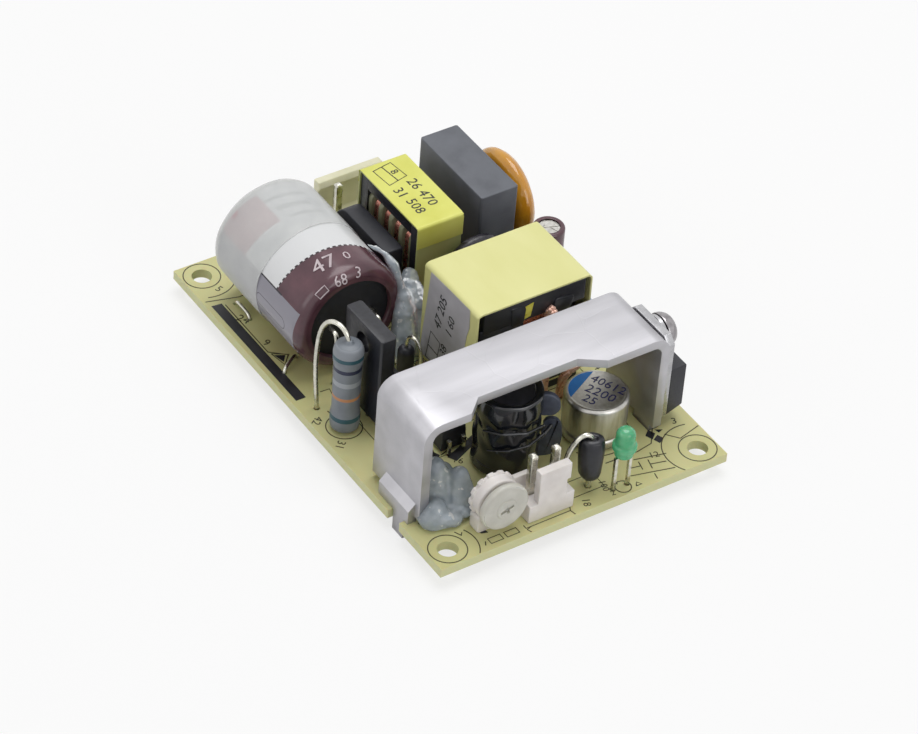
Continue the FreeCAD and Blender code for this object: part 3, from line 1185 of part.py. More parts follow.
draw_box(sketch, -s.trimmer_slot_length / 2, s.trimmer_slot_length / 2,
         -s.trimmer_slot_width / 2, s.trimmer_slot_width / 2)
pocket(rotor, sketch, s.trimmer_slot_depth)
node(place(rotor, s.trimmer_x + s.trimmer_body_depth, s.trimmer_y, s.trimmer_axis_height),
     "trimmer_rotor")
lead_x = s.trimmer_x + s.trimmer_body_depth / 2
spots = [(lead_x, s.trimmer_y + i * s.trimmer_lead_pitch) for i in (-1, 0, 1)]
radial_leads += straight_leads("trimmer_lead", spots, s.trimmer_lead_radius, top)
group("radial_part_leads", radial_leads)


# Wire links on the top face
links = []
link_top = top + s.link_rise
for name, x, y, angle in (("link_a", s.link_a_x, s.link_a_y, 0.0),
                          ("link_b", s.link_b_x, s.link_b_y, s.link_b_angle.value)):
    link = bent_wire(name, [(0, 0), (0, link_top, s.link_bend),
                            (-s.link_length, link_top, s.link_bend), (-s.link_length, 0)],
                     s.link_radius)
    links.append(place(link, x, y, 0, angle))
    lead_spot(x, y, s.link_radius)
    far_x = x - s.link_length * math.cos(math.radians(angle))
    far_y = y - s.link_length * math.sin(math.radians(angle))
    lead_spot(far_x, far_y, s.link_radius)
group("wire_links", links)


# The controller chip under the board, and the small chip parts round it
chip = block("chip", s.chip_x - s.chip_length / 2, s.chip_y - s.chip_width / 2,
             -s.chip_lift - s.chip_height, s.chip_length, s.chip_width, s.chip_height)
node(chip, "controller_chip_body")
thick = s.chip_lead_thickness
middle = -s.chip_lift - s.chip_height / 2
for side in (0, 1):
    for i in range(4):
        lead = new_body("chip_lead")
        sketch = new_sketch(lead, "YZ_Plane", -s.chip_lead_width / 2)
        inner = s.chip_width / 2
        knee = inner + s.chip_lead_reach / 2
        outer = inner + s.chip_lead_reach
        draw(sketch, [(inner, middle), (knee, middle), (knee, -thick), (outer, -thick), (outer, 0),
                      (knee - thick, 0), (knee - thick, middle + thick), (inner, middle + thick)])
        pad(lead, sketch, s.chip_lead_width)
        lead_x = s.chip_x + (i - 1.5) * s.chip_lead_pitch
        chip_legs.append(place(lead, lead_x, s.chip_y, 0, 180.0 * side))
group("chip_legs", chip_legs)
small_parts = []
small_spots = [(x, -6.0) for x in (-9.5, -6.5, -3.5)]
small_spots += [(27.8, y) for y in (-2.0, 1.2, 4.4, 7.6)]
small_spots += [(17.5, y) for y in (-19.5, -16.5)]
small_spots += [(x, -8.0) for x in (-30.0, -26.8, -23.6)]
for x, y in small_spots:
    small_parts.append(block("small_part", dim(x) - s.small_part_length / 2,
                             dim(y) - s.small_part_width / 2, -s.small_part_height,
                             s.small_part_length, s.small_part_width, s.small_part_height))
group("chip_resistors", small_parts)


def dome_bead(name, radius, height, sides=12):
    """A soft bead: a many-sided post with its top edges cut away to a dome."""
    body = new_body(name)
    pad(body, draw_polygon(new_sketch(body, "XY_Plane"), 0, 0, radius, sides), height)
    break_edges(body, radius * 0.5, lambda edge: edge.BoundBox.ZMin > height.value - 1e-6)
    return body


# Beads of silicone that hold the tall parts
beads = []
for name, x, y, radius, height in (
        ("glue_leg", s.glue_leg_x, s.glue_leg_y, s.glue_leg_radius, s.glue_leg_height),
        ("glue_foot", s.glue_foot_x, s.glue_foot_y, s.glue_foot_radius, s.glue_foot_height),
        ("glue_core", s.glue_core_x, s.glue_core_y, s.glue_core_radius, s.glue_core_height)):
    beads.append(place(dome_bead(name, radius, height), x, y, top))
group("silicone_beads", beads)


# The board: mounting holes, a hole for each lead, and the heatsink's notch and slot
half_x = s.board_length / 2
half_y = s.board_width / 2
blank = block("board_blank", -half_x, -half_y, 0, s.board_length, s.board_width, top)
openings = []
for side in (-1, 1):
    for across in (-1, 1):
        hole = doc.addObject("Part::Cylinder", "mounting_hole")
        bind(hole, "Radius", s.mounting_hole_radius)
        bind(hole, "Height", top)
        openings.append(place(hole, side * s.hole_spacing_x / 2, across * s.hole_spacing_y / 2, 0))
for x, y, radius in LEADS:
    openings.append(place(rod("lead_hole", radius + s.lead_hole_gap, top), x, y, 0))
gap = s.tab_gap
notch_width = left - joggle + sheet_wall + gap + half_y + gap
openings.append(block("left_notch", s.left_tip_x - gap, -half_y - gap, 0,
                      s.left_tip_width + gap * 2, notch_width, top))
openings.append(block("right_slot", s.right_tab_x - gap, right - sheet_wall - gap, 0,
                      s.right_tab_width + gap * 2, sheet_wall + gap * 2, top))
cutters = doc.addObject("Part::Compound", "board_openings")
cutters.Links = openings
board = doc.addObject("Part::Cut", "board")
board.Base = blank
board.Tool = cutters
node(board, "circuit_board")


def ring(x, y, z, radius):
    """The corners of a level six-sided outline."""
    angles = [2 * math.pi * i / LEAD_FLATS for i in range(LEAD_FLATS)]
    return [Vector(x + radius * math.cos(angle), y + radius * math.sin(angle), z) for angle in angles]


def facet(corners):
    return Part.Face(Part.makePolygon(corners + corners[:1]))


# The solder joints: each a cone that wets its lead's clipped tip
doc.recompute()
joints = []
for x, y, radius in LEADS:
    foot = radius.value + s.lead_hole_gap.value + s.solder_ring.value
    tip = radius.value * s.solder_tip_share.value
    upper = ring(x.value, y.value, 0, foot)
    lower = ring(x.value, y.value, -s.lead_tip_depth.value, tip)
    faces = [facet(upper), facet(lower)]
    for i in range(LEAD_FLATS):
        faces.append(facet([upper[i - 1], upper[i], lower[i], lower[i - 1]]))
    joints.append(Part.makeSolid(Part.makeShell(faces)))
solder = doc.addObject("Part::Feature", "solder")
solder.Shape = Part.makeCompound(joints)
solder.Placement = FreeCAD.Placement()
node(solder, "solder_joints")


# Every object has to be sound before anything is written
doc.recompute()
for item in doc.Objects:
    if "Invalid" in item.State or "Error" in item.State:
        raise RuntimeError("%s failed: %s" % (item.Label, item.State))
os.makedirs("parts", exist_ok=True)
for item in NODES:
    if item.Shape.isNull() or not item.Shape.isValid() or not item.Shape.Solids:
        raise RuntimeError("%s has no sound shape" % item.Label)
for item in NODES:
    item.Shape.exportStep("parts/%s.step" % item.Label)
print("nodes", len(NODES), "solids", sum(len(item.Shape.Solids) for item in NODES))
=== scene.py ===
# %% [markdown]
# # An open frame power supply, seen from above its output end
# A mains supply on a bare 3 by 2 inch board: wound parts in yellow tape, a lying capacitor
# in a clear cup and a folded aluminium heatsink. The imported CAD model is the fixed frame.
# This notebook gives each CAD node its real finish, and replaces the nodes whose looks need
# finer shapes, such as wound wire, print, glue and solder.

# %% The imported frame
import math
import random

import bmesh
import bpy
from mathutils import Matrix, Vector, noise


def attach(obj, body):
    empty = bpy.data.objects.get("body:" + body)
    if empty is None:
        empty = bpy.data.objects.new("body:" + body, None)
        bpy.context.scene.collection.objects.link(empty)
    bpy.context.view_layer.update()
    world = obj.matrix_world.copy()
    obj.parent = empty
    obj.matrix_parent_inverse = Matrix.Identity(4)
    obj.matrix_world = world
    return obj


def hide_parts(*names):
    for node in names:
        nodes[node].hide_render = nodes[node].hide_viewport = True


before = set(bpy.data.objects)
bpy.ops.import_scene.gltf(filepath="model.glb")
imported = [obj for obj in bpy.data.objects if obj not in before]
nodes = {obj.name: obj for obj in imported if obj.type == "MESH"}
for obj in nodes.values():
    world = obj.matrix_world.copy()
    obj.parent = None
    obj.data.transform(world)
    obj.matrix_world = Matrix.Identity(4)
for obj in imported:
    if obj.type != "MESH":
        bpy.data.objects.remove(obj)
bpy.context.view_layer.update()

MM = 0.001

# %% [markdown]
# ## The camera
# The photo looks down on the output end with a long lens. The four mounting holes and the
# board's corners fix the camera's place, so it is set from angles, distance and focal length
# and not by eye. A small roll is part of it.

# %% Camera
AZIMUTH, ELEVATION, ROLL = (math.radians(angle) for angle in (53.795, 40.986, 4.76))
DISTANCE, LENS, SENSOR = 625.691 * MM, 164.62, 36.0
back = Vector((math.sin(AZIMUTH) * math.cos(ELEVATION),
               -math.cos(AZIMUTH) * math.cos(ELEVATION),
               math.sin(ELEVATION)))
level = Vector((math.cos(AZIMUTH), math.sin(AZIMUTH), 0))
upward = back.cross(level)
across = level * math.cos(ROLL) + upward * math.sin(ROLL)
upright = upward * math.cos(ROLL) - level * math.sin(ROLL)
aim = Vector((8.21, -3.349, 8.0)) * MM

camera = bpy.data.objects.new("camera", bpy.data.cameras.new("camera"))
bpy.context.scene.collection.objects.link(camera)
turned_axes = Matrix((across, upright, back)).transposed().to_4x4()
camera.matrix_world = Matrix.Translation(aim + back * DISTANCE) @ turned_axes
camera.data.lens, camera.data.sensor_width = LENS, SENSOR
camera.data.clip_start, camera.data.clip_end = 0.01, 20.0
bpy.context.scene.camera = camera
print("camera at mm", [round(c / MM) for c in camera.matrix_world.translation])

# %% [markdown]
# ## Colours and nodes
# Colours are noted as sRGB hex, the way a colour picker gives them, and the shader wants
# linear light, so one function converts them. Another adds a node with its settings and its
# links in a single line, which keeps each finish short enough to read.

# %% Colour and node helpers
def linear(code):
    """An sRGB hex colour as linear red, green, blue and alpha."""
    parts = [int(code[i:i + 2], 16) / 255 for i in (1, 3, 5)]
    return (*(c / 12.92 if c <= 0.04045 else ((c + 0.055) / 1.055) ** 2.4 for c in parts), 1.0)


def add(tree, kind, inputs=None, **settings):
    """Adds a node with its settings. An input gets a value, or a link from another output."""
    made = tree.nodes.new(kind)
    for name, value in settings.items():
        setattr(made, name, value)
    for socket, value in (inputs or {}).items():
        if isinstance(value, bpy.types.NodeSocket):
            tree.links.new(value, made.inputs[socket])
        else:
            made.inputs[socket].default_value = value
    return made


print("mid grey is", round(linear("#808080")[0], 3), "in linear light")

# %% [markdown]
# ## A surface with a grain
# Hardly any real surface has one flat colour. Moulded epoxy drifts a little in shade, tape
# has a faint weave and metal has a grain. This helper makes a named finish whose colour runs
# through a few tones, at a size in millimetres, with a roughness that drifts too and a
# relief of a real depth. Patterns sit on Object coordinates, so they stay with the piece.

# %% Surface helper
finishes = {}


def ramp(tree, value, tones, first=0.3, last=0.7, sharp=False):
    """A colour output that runs through the hex tones as value goes from first to last."""
    made = add(tree, "ShaderNodeValToRGB", {"Fac": value})
    band = made.color_ramp
    band.interpolation = "CONSTANT" if sharp else "LINEAR"
    while len(band.elements) < len(tones):
        band.elements.new(0.5)
    for i, tone in enumerate(tones):
        band.elements[i].position = first + (last - first) * i / max(1, len(tones) - 1)
        band.elements[i].color = linear(tone)
    return made.outputs["Color"]


def surface(name, tones, size, roughness, depth=0.0, stretch=(1, 1, 1), sockets=None):
    """A finish that drifts through the tones over size mm, with a relief of depth mm."""
    made = bpy.data.materials.new(name)
    made.use_nodes = True
    tree = made.node_tree
    shader = tree.nodes["Principled BSDF"]
    place = add(tree, "ShaderNodeTexCoord")
    turn = add(tree, "ShaderNodeMapping", {"Vector": place.outputs["Object"], "Scale": stretch})
    grain = add(tree, "ShaderNodeTexNoise",
                {"Vector": turn.outputs[0], "Scale": 1 / (size * MM), "Detail": 5.0})
    tree.links.new(ramp(tree, grain.outputs["Fac"], tones), shader.inputs["Base Color"])
    gloss = add(tree, "ShaderNodeMapRange",
                {"Value": grain.outputs["Fac"], "From Min": 0.3, "From Max": 0.7,
                 "To Min": roughness[0], "To Max": roughness[1]})
    tree.links.new(gloss.outputs[0], shader.inputs["Roughness"])
    if depth:
        bump = add(tree, "ShaderNodeBump",
                   {"Height": grain.outputs["Fac"], "Distance": depth * MM, "Strength": 1.0})
        tree.links.new(bump.outputs[0], shader.inputs["Normal"])
    for socket, value in (sockets or {}).items():
        shader.inputs[socket].default_value = value
    finishes[name] = made
    return made


print("surface helper ready")

# %% [markdown]
# ## Metals
# Leads are tinned copper: bright, slightly wavy from the dip. Cans are deep-drawn aluminium
# with a fine satin grain, screws and the rectifier's tab are nickel or tin plate. A metal's
# colour is its reflection, so metallic is 1 and the tone is pale. The screw's nickel is darker,
# a painted dark reflection, as the white studio has nothing dark for it to mirror. Solder is
# duller, because it froze.

# %% Metals
METAL = {"Metallic": 1.0}
surface("tinned_wire", ["#b9b8ae", "#e4e2d6"], 1.2, (0.18, 0.34), 0.02, sockets=METAL)
surface("solder", ["#a9abb0", "#d3d5d8"], 0.7, (0.22, 0.42), 0.03, sockets=METAL)
surface("plated_steel", ["#aaaaad", "#bfbfc1"], 1.8, (0.22, 0.32), 0.003, sockets=METAL)
# Painted dark reflection: the nickel's darker tone stands in for dark things mirrored in the
# screw.
surface("nickel_plate", ["#8c898b", "#aeabad"], 0.9, (0.08, 0.16), 0.004, sockets=METAL)
surface("can_aluminium", ["#b4b2ac", "#cbc9c4"], 0.5, (0.28, 0.40), 0.004,
        stretch=(1, 1, 0.15), sockets=METAL)
surface("copper_strand", ["#e3ae98", "#f6d2c3"], 0.4, (0.26, 0.42), 0.01,
        sockets={"Metallic": 0.6})
surface("track_copper", ["#a66a45", "#c98d66"], 1.5, (0.35, 0.5), 0.01, sockets=METAL)
print("metals", sorted(finishes))

# %% [markdown]
# ## Black parts
# Epoxy mouldings, phenolic bobbins, ferrite, shrink tube and rubber are all called black,
# but differ in gloss: a moulding is eggshell with a blue cast, ferrite is stony, shrink tube
# shines like wet plastic and rubber is dull. Only the tone, the grain's size and the
# roughness change.

# %% Black finishes
surface("black_epoxy", ["#191a21", "#25262e"], 0.35, (0.42, 0.58), 0.008)
surface("black_phenolic", ["#15161b", "#202129"], 0.6, (0.28, 0.42), 0.006)
surface("ferrite", ["#1c1d23", "#2b2c34"], 0.5, (0.30, 0.55), 0.015)
surface("black_shrink_tube", ["#0c0e12", "#1a1d24"], 2.2, (0.10, 0.20), 0.05,
        sockets={"Coat Weight": 0.4, "Coat Roughness": 0.08})
surface("slate_shrink_tube", ["#363b49", "#4a5060"], 1.2, (0.28, 0.40), 0.03)
surface("bung_rubber", ["#101116", "#1d1e25"], 0.5, (0.55, 0.7), 0.02)
surface("black_coating", ["#1d1b22", "#34323a"], 0.8, (0.22, 0.38), 0.03)
print("finishes so far", len(finishes))

# %% [markdown]
# ## Dipped and moulded colours
# The varistor is dipped in amber epoxy that pools and shines, the safety capacitor in blue.
# Headers are white nylon, which lets a little light in, so they get some scattering under
# the skin. The film capacitor is a slate grey box with a cloudy face.

# %% Coloured finishes
SOFT_SKIN = {"Subsurface Weight": 0.25, "Subsurface Scale": 0.6 * MM,
             "Subsurface Radius": (1.0, 0.9, 0.75)}
surface("orange_epoxy", ["#c4841e", "#dba02a"], 5.0, (0.10, 0.20), 0.06,
        sockets={"Coat Weight": 0.5, "Coat Roughness": 0.05})
surface("blue_epoxy", ["#2f5f9e", "#3f76b8"], 2.0, (0.22, 0.32), 0.04)
surface("grey_plastic", ["#53565d", "#5f6269", "#666970"], 4.0, (0.42, 0.56), 0.012)
surface("white_nylon", ["#dcd6d2", "#e9e4e1"], 2.5, (0.34, 0.48), 0.01, sockets=SOFT_SKIN)
surface("cream_nylon", ["#dddab9", "#e8e5c9"], 3.0, (0.36, 0.50), 0.01, sockets=SOFT_SKIN)
surface("chip_ceramic", ["#22242a", "#3a3d45"], 0.4, (0.3, 0.4), 0.01)
print("finishes so far", len(finishes))

# %% [markdown]
# ## See-through finishes
# The cup over the big capacitor is milky film, so the sleeve's print shows through it as a
# ghost. Silicone is bluish and glassy, with small white specks that are painted highlights,
# glints of its wet surface. The trimmer's rotor and the lamp's lens are cloudy plastic that
# glows a little. Film gets alpha, because it is thin, and the solid pieces get transmission.
# The painted highlights are the peaks of a noise under a millimetre wide, mixed over the tone.

# %% See-through finishes
surface("clear_insulating_film", ["#dddfdf", "#ecedec"], 6.0, (0.30, 0.42), 0.06,
        sockets={"Alpha": 0.44})
surface("clear_silicone", ["#b2bdc7", "#d2dae0"], 1.6, (0.10, 0.28), 0.10,
        sockets={"Transmission Weight": 0.55, "IOR": 1.41})
silicone = finishes["clear_silicone"]
tree = silicone.node_tree
shader = tree.nodes["Principled BSDF"]
gel_tone = shader.inputs["Base Color"].links[0].from_socket
# Painted highlight: white specks at the peaks of a fine noise stand in for glints on the wet
# gel.
glint_noise = add(tree, "ShaderNodeTexNoise",
              {"Vector": add(tree, "ShaderNodeTexCoord").outputs["Object"],
               "Scale": 1 / (0.9 * MM), "Detail": 1.0})
painted_glint_mask = add(tree, "ShaderNodeMapRange",
                  {"Value": glint_noise.outputs["Fac"], "From Min": 0.66, "From Max": 0.70})
painted_glint_tone = add(tree, "ShaderNodeMix",
               {0: painted_glint_mask.outputs[0], 6: gel_tone, 7: linear("#fbfcfc")},
               data_type="RGBA")
tree.links.new(painted_glint_tone.outputs[2], shader.inputs["Base Color"])
surface("milky_plastic", ["#d3d1c7", "#e3e1d8"], 2.0, (0.28, 0.42), 0.01,
        sockets={"Transmission Weight": 0.25, "IOR": 1.5, **SOFT_SKIN})
surface("green_lens", ["#46b67c", "#79d3a0"], 2.0, (0.05, 0.12), 0.01,
        sockets={"Transmission Weight": 0.3, "IOR": 1.54, "Subsurface Weight": 0.3,
                 "Subsurface Scale": 0.5 * MM})
print("finishes so far", len(finishes))

# %% [markdown]
# ## Polyester tape
# Wound parts are wrapped in pale yellow polyester tape. It is smooth film, so it has a low
# sheen, faint stretch lines along the wrap and small crinkles that are tenths of a
# millimetre high. Where two layers lie on each other the colour is deeper.

# %% Tape
surface("yellow_tape", ["#dedc92", "#e6e4a2"], 7.0, (0.30, 0.42), 0.03,
        stretch=(0.4, 1, 1))
surface("doubled_yellow_tape", ["#d8d862", "#e4e57a"], 6.0, (0.28, 0.40), 0.03)
surface("pale_tape", ["#bcc278", "#cacf8b"], 6.0, (0.32, 0.44), 0.03)
surface("label_paper", ["#b5b3b9", "#c6c4ca"], 3.0, (0.45, 0.6), 0.01)
surface("blue_ink", ["#0a78d4", "#128ae6"], 2.0, (0.3, 0.4))
surface("violet_ink", ["#2b2c62", "#383a75"], 2.0, (0.3, 0.4))
surface("tape_scrap", ["#cfc23a", "#e3da5e"], 1.5, (0.25, 0.35), 0.03)
print("finishes so far", len(finishes))

# %% [markdown]
# ## Sheet aluminium
# The heatsink is mill-finish sheet: nearly white in soft light, with a fine rolled grain and
# a few thin scratches from handling. The grain is a noise stretched along Y, the scratches
# are the thin edges between large Voronoi cells, and both only change gloss and relief.

# %% Heatsink aluminium
heatsink_metal = surface("heatsink_aluminium", ["#b1b0b4", "#c0bfc3"], 3.0, (0.42, 0.54),
                         0.004, stretch=(1, 0.12, 1), sockets={"Metallic": 1.0})
tree = heatsink_metal.node_tree
shader = tree.nodes["Principled BSDF"]
place = add(tree, "ShaderNodeTexCoord").outputs["Object"]
wander = add(tree, "ShaderNodeTexNoise", {"Vector": place, "Scale": 1 / (6 * MM)})
bent = add(tree, "ShaderNodeVectorMath",
           {0: wander.outputs["Color"], 1: (0.002, 0.002, 0.002), 2: place},
           operation="MULTIPLY_ADD")
scratch_cells = add(tree, "ShaderNodeTexVoronoi",
                    {"Vector": bent.outputs[0], "Scale": 1 / (9 * MM)},
                    feature="DISTANCE_TO_EDGE")
scratch = add(tree, "ShaderNodeMapRange",
              {"Value": scratch_cells.outputs["Distance"], "From Min": 0.0,
               "From Max": 0.012, "To Min": 0.0, "To Max": 1.0})
groove = add(tree, "ShaderNodeBump",
             {"Height": scratch.outputs[0], "Distance": 0.02 * MM, "Strength": 0.6})
tree.links.new(groove.outputs[0], shader.inputs["Normal"])
print("scratches about 9 mm apart")

# %% [markdown]
# ## Board laminate
# A one-sided board of paper and glass laminate is olive yellow and a little see-through, so
# its surface looks soft. The faint weave has a pitch of half a millimetre. Sawn edges are
# paler than the face, which the shader learns from the surface normal.

# %% Board laminate
laminate = surface("board_laminate", ["#c7c489", "#d2ce96"], 9.0, (0.36, 0.50), 0.0,
                   sockets={"Subsurface Weight": 0.15, "Subsurface Scale": 0.8 * MM})
tree = laminate.node_tree
shader = tree.nodes["Principled BSDF"]
face_tone = shader.inputs["Base Color"].links[0].from_socket
place = add(tree, "ShaderNodeTexCoord").outputs["Object"]
weave = add(tree, "ShaderNodeTexWave",
            {"Vector": place, "Scale": 1 / (4 * MM), "Distortion": 1.5, "Detail": 2.0})
facing = add(tree, "ShaderNodeSeparateXYZ",
             {"Vector": add(tree, "ShaderNodeNewGeometry").outputs["Normal"]})
flat_face = add(tree, "ShaderNodeMath", {0: facing.outputs["Z"]}, operation="ABSOLUTE")
edge_mix = add(tree, "ShaderNodeMix",
               {0: flat_face.outputs[0], 6: linear("#cfcf9c"), 7: face_tone}, data_type="RGBA")
tree.links.new(edge_mix.outputs[2], shader.inputs["Base Color"])
weave_bump = add(tree, "ShaderNodeBump",
                 {"Height": weave.outputs["Fac"], "Distance": 0.01 * MM, "Strength": 0.5})
tree.links.new(weave_bump.outputs[0], shader.inputs["Normal"])
surface("printed_legend", ["#3a3420", "#4a4328"], 1.5, (0.5, 0.6))
surface("printed_black", ["#15151a", "#202026"], 1.5, (0.4, 0.5))
surface("solder_mask", ["#3c6b3a", "#477a43"], 6.0, (0.25, 0.35), 0.01)
print("laminate, legend and mask ready")

# %% [markdown]
# ## Wound wire and its bobbins
# Enamelled copper is copper under clear lacquer: a warm pink metal with a glassy coat. The
# line choke's bobbin is natural nylon above a black pin base, so its finish changes with the
# height.

# %% Enamelled copper and bobbin nylon
surface("enamelled_copper", ["#a5563f", "#d08a72"], 0.5, (0.22, 0.34), 0.01,
        sockets={"Metallic": 0.8, "Coat Weight": 0.6, "Coat Roughness": 0.12})
surface("pink_copper", ["#b9705e", "#dd9f8c"], 0.5, (0.22, 0.34), 0.01,
        sockets={"Metallic": 0.7, "Coat Weight": 0.6, "Coat Roughness": 0.12})
bobbin = surface("choke_bobbin_nylon", ["#8f9072", "#a7a888"], 1.5, (0.35, 0.5), 0.01)
tree = bobbin.node_tree
shader = tree.nodes["Principled BSDF"]
natural = shader.inputs["Base Color"].links[0].from_socket
height = add(tree, "ShaderNodeSeparateXYZ",
             {"Vector": add(tree, "ShaderNodeTexCoord").outputs["Object"]})
above_base = add(tree, "ShaderNodeMath", {0: height.outputs["Z"], 1: 5.2 * MM},
                 operation="GREATER_THAN")
two_tone = add(tree, "ShaderNodeMix",
               {0: above_base.outputs[0], 6: linear("#191a20"), 7: natural}, data_type="RGBA")
tree.links.new(two_tone.outputs[2], shader.inputs["Base Color"])
print("finishes so far", len(finishes))

# %% [markdown]
# ## Every CAD node gets its finish
# A CAD node comes with one material that carries the name of its slot. The loop swaps it for
# the finish of the same name, and a few nodes whose finish differs from their neighbours in
# the slot are named one by one.

# %% Finishes on the CAD nodes
surface("brown_shrink_sleeve", ["#533841", "#6a4850"], 4.0, (0.16, 0.26), 0.03)
surface("resistor_lacquer", ["#6f747b", "#7d8288"], 2.5, (0.32, 0.44), 0.02)
own_finish = {
    "line_choke_bobbin": "choke_bobbin_nylon",
    "line_choke_tape": "doubled_yellow_tape",
    "inlet_header_housing": "cream_nylon",
    "trimmer_body": "white_nylon",
    "switching_transistor_body": "black_phenolic",
}
slot_of = {name: node.material_slots[0].material.name for name, node in nodes.items()}
for name, node in nodes.items():
    node.material_slots[0].material = finishes[own_finish.get(name, slot_of[name])]
print("dressed", len(nodes), "nodes in", len(finishes), "finishes")

# %% [markdown]
# ## From a shape to a finished piece
# A piece is a mesh in metres, placed where the CAD says, with smooth shading and crisp real
# edges. It rides on the board unless it is the trimmer's rotor, and stands for the CAD nodes
# that it dresses.

# %% Piece helpers
def keep(name, mesh, finish, slot=None, stands_for=(), body="board", sharp=35):
    """Makes the mesh a finished piece that rides on its body and stands for its CAD nodes."""
    mesh.name = name
    mesh.materials.clear()
    mesh.materials.append(finishes[finish])
    mesh.shade_smooth()
    mesh.set_sharp_from_angle(angle=math.radians(sharp))
    piece = bpy.data.objects.new(name, mesh)
    bpy.context.scene.collection.objects.link(piece)
    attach(piece, body)
    if stands_for:
        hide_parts(*stands_for)
    print("piece", name, len(mesh.polygons), "faces")
    return piece


def mesh_of(shape):
    """The bmesh as a mesh with its faces turned outwards."""
    bmesh.ops.recalc_face_normals(shape, faces=shape.faces)
    mesh = bpy.data.meshes.new("mesh")
    shape.to_mesh(mesh)
    shape.free()
    return mesh


def evaluated(piece):
    """A plain mesh of the object as its modifiers leave it. The object goes."""
    graph = bpy.context.evaluated_depsgraph_get()
    mesh = bpy.data.meshes.new_from_object(piece.evaluated_get(graph), depsgraph=graph)
    bpy.data.objects.remove(piece)
    return mesh


def scratch_object(data):
    """An object that only lives until it is evaluated."""
    made = bpy.data.objects.new("working_copy", data)
    bpy.context.scene.collection.objects.link(made)
    return made


# %% [markdown]
# ## Turned shapes
# Cans, sleeves, discs and lenses are round, so each is a profile of (radius, height) points
# spun round a line. A third value on a point eases that corner, as drawn metal and moulded
# plastic have no sharp one. The Screw modifier could spin it too, but a short loop closes
# the poles cleanly and lets a wave push the skin in and out, for film that is not quite
# round.

# %% Turned shapes
def eased(points, steps=4):
    """The points as (radius, height), with each corner rounded by its third value in mm."""
    made = []
    for i, point in enumerate(points):
        here = Vector(point[:2])
        if len(point) < 3 or i in (0, len(points) - 1):
            made.append(tuple(here))
            continue
        before = here + (Vector(points[i - 1][:2]) - here).normalized() * point[2]
        after = here + (Vector(points[i + 1][:2]) - here).normalized() * point[2]
        for k in range(steps + 1):
            t = k / steps
            made.append(tuple(before * (1 - t) ** 2 + here * 2 * t * (1 - t) + after * t ** 2))
    return made


def turned(profile, centre, along="Z", sides=72, closed=False, wave=None):
    """A mesh that spins the profile, in mm, round the line through centre."""
    shape, rings = bmesh.new(), []
    order = {"Z": (0, 1, 2), "X": (2, 0, 1), "Y": (0, 2, 1)}[along]
    for radius, height in profile:
        ring = []
        for i in range(sides if radius else 1):
            angle = 2 * math.pi * i / sides
            reach = radius + (wave(angle, height) if wave and radius else 0)
            spot = (reach * math.cos(angle), reach * math.sin(angle), height)
            ring.append(shape.verts.new([(spot[order[k]] + centre[k]) * MM for k in range(3)]))
        rings.append(ring)
    for below, above in zip(rings, rings[1:] + (rings[:1] if closed else [])):
        for i in range(sides):
            corners = [below[i % len(below)], below[(i + 1) % len(below)],
                       above[(i + 1) % len(above)], above[i % len(above)]]
            corners = list(dict.fromkeys(corners))
            if len(corners) > 2:
                shape.faces.new(corners)
    return mesh_of(shape)


# %% [markdown]
# ## Edges that catch the light
# Moulded boxes and sheared sheet come from the CAD with sharp edges. A copy of the node has
# its loose triangles merged, its flat faces cleaned and its edges bevelled, so a thin
# highlight runs along them as on the real part. Drawing these parts afresh would give the
# same look, but a copy keeps every size where the CAD has it.

# %% Eased copies of CAD nodes
WELD = 0.002 * MM


def bevelled(mesh, width, segments=2, **settings):
    """The mesh with its edges of more than 30 degrees rounded by width mm."""
    working = scratch_object(mesh)
    bevel = working.modifiers.new("edge", "BEVEL")
    bevel.width, bevel.segments, bevel.limit_method = width * MM, segments, "ANGLE"
    for name, value in settings.items():
        setattr(bevel, name, value)
    return evaluated(working)


def eased_node(name, finish, width):
    """A copy of a CAD node whose edges are rounded by width mm. It stands for the node."""
    shape = bmesh.new()
    shape.from_mesh(nodes[name].data)
    bmesh.ops.remove_doubles(shape, verts=shape.verts, dist=WELD)
    bmesh.ops.dissolve_limit(shape, angle_limit=math.radians(0.5), verts=shape.verts,
                             edges=shape.edges)
    mesh = mesh_of(shape)
    mesh.shade_smooth()
    keep(name + "_eased", bevelled(mesh, width, 3, harden_normals=True), finish,
         slot_of[name], [name], sharp=60)


print("slots in use", len(set(slot_of.values())))


# %% [markdown]
# ## A sweep along a path, in Geometry Nodes
# Round wire, flat ink lines and copper tracks all follow a path with one section. A curve's
# own bevel could do it, but a tree takes its sizes as named inputs and also serves the flat
# lines. One tree sweeps a circle and one sweeps a flat bar that stays level. A helper feeds
# a curve to a tree, sets the inputs by their identifiers and keeps a plain mesh.

# %% Tree helpers
def new_tree(name, sockets):
    """A Geometry Nodes tree with these named inputs, and its group input."""
    tree = bpy.data.node_groups.new(name, "GeometryNodeTree")
    for label, kind in (("Geometry", "Geometry"), *sockets, ("Material", "Material")):
        tree.interface.new_socket(label, in_out="INPUT", socket_type="NodeSocket" + kind)
    tree.interface.new_socket("Geometry", in_out="OUTPUT", socket_type="NodeSocketGeometry")
    return tree, add(tree, "NodeGroupInput").outputs


def end_tree(tree, shape, given):
    """Ends a tree in Realize Instances and Set Material, as the export needs."""
    real = add(tree, "GeometryNodeRealizeInstances", {"Geometry": shape})
    dressed = add(tree, "GeometryNodeSetMaterial",
                  {"Geometry": real.outputs[0], "Material": given["Material"]})
    add(tree, "NodeGroupOutput", {0: dressed.outputs[0]})
    return tree


def grown(data, tree, **values):
    """Runs the tree on the mesh or curve, with sizes in metres, and returns a plain mesh."""
    working = scratch_object(data)
    modifier = working.modifiers.new(tree.name, "NODES")
    modifier.node_group = tree
    for item in tree.interface.items_tree:
        if item.in_out == "INPUT" and item.name in values:
            modifier[item.identifier] = values[item.name]
    return evaluated(working)


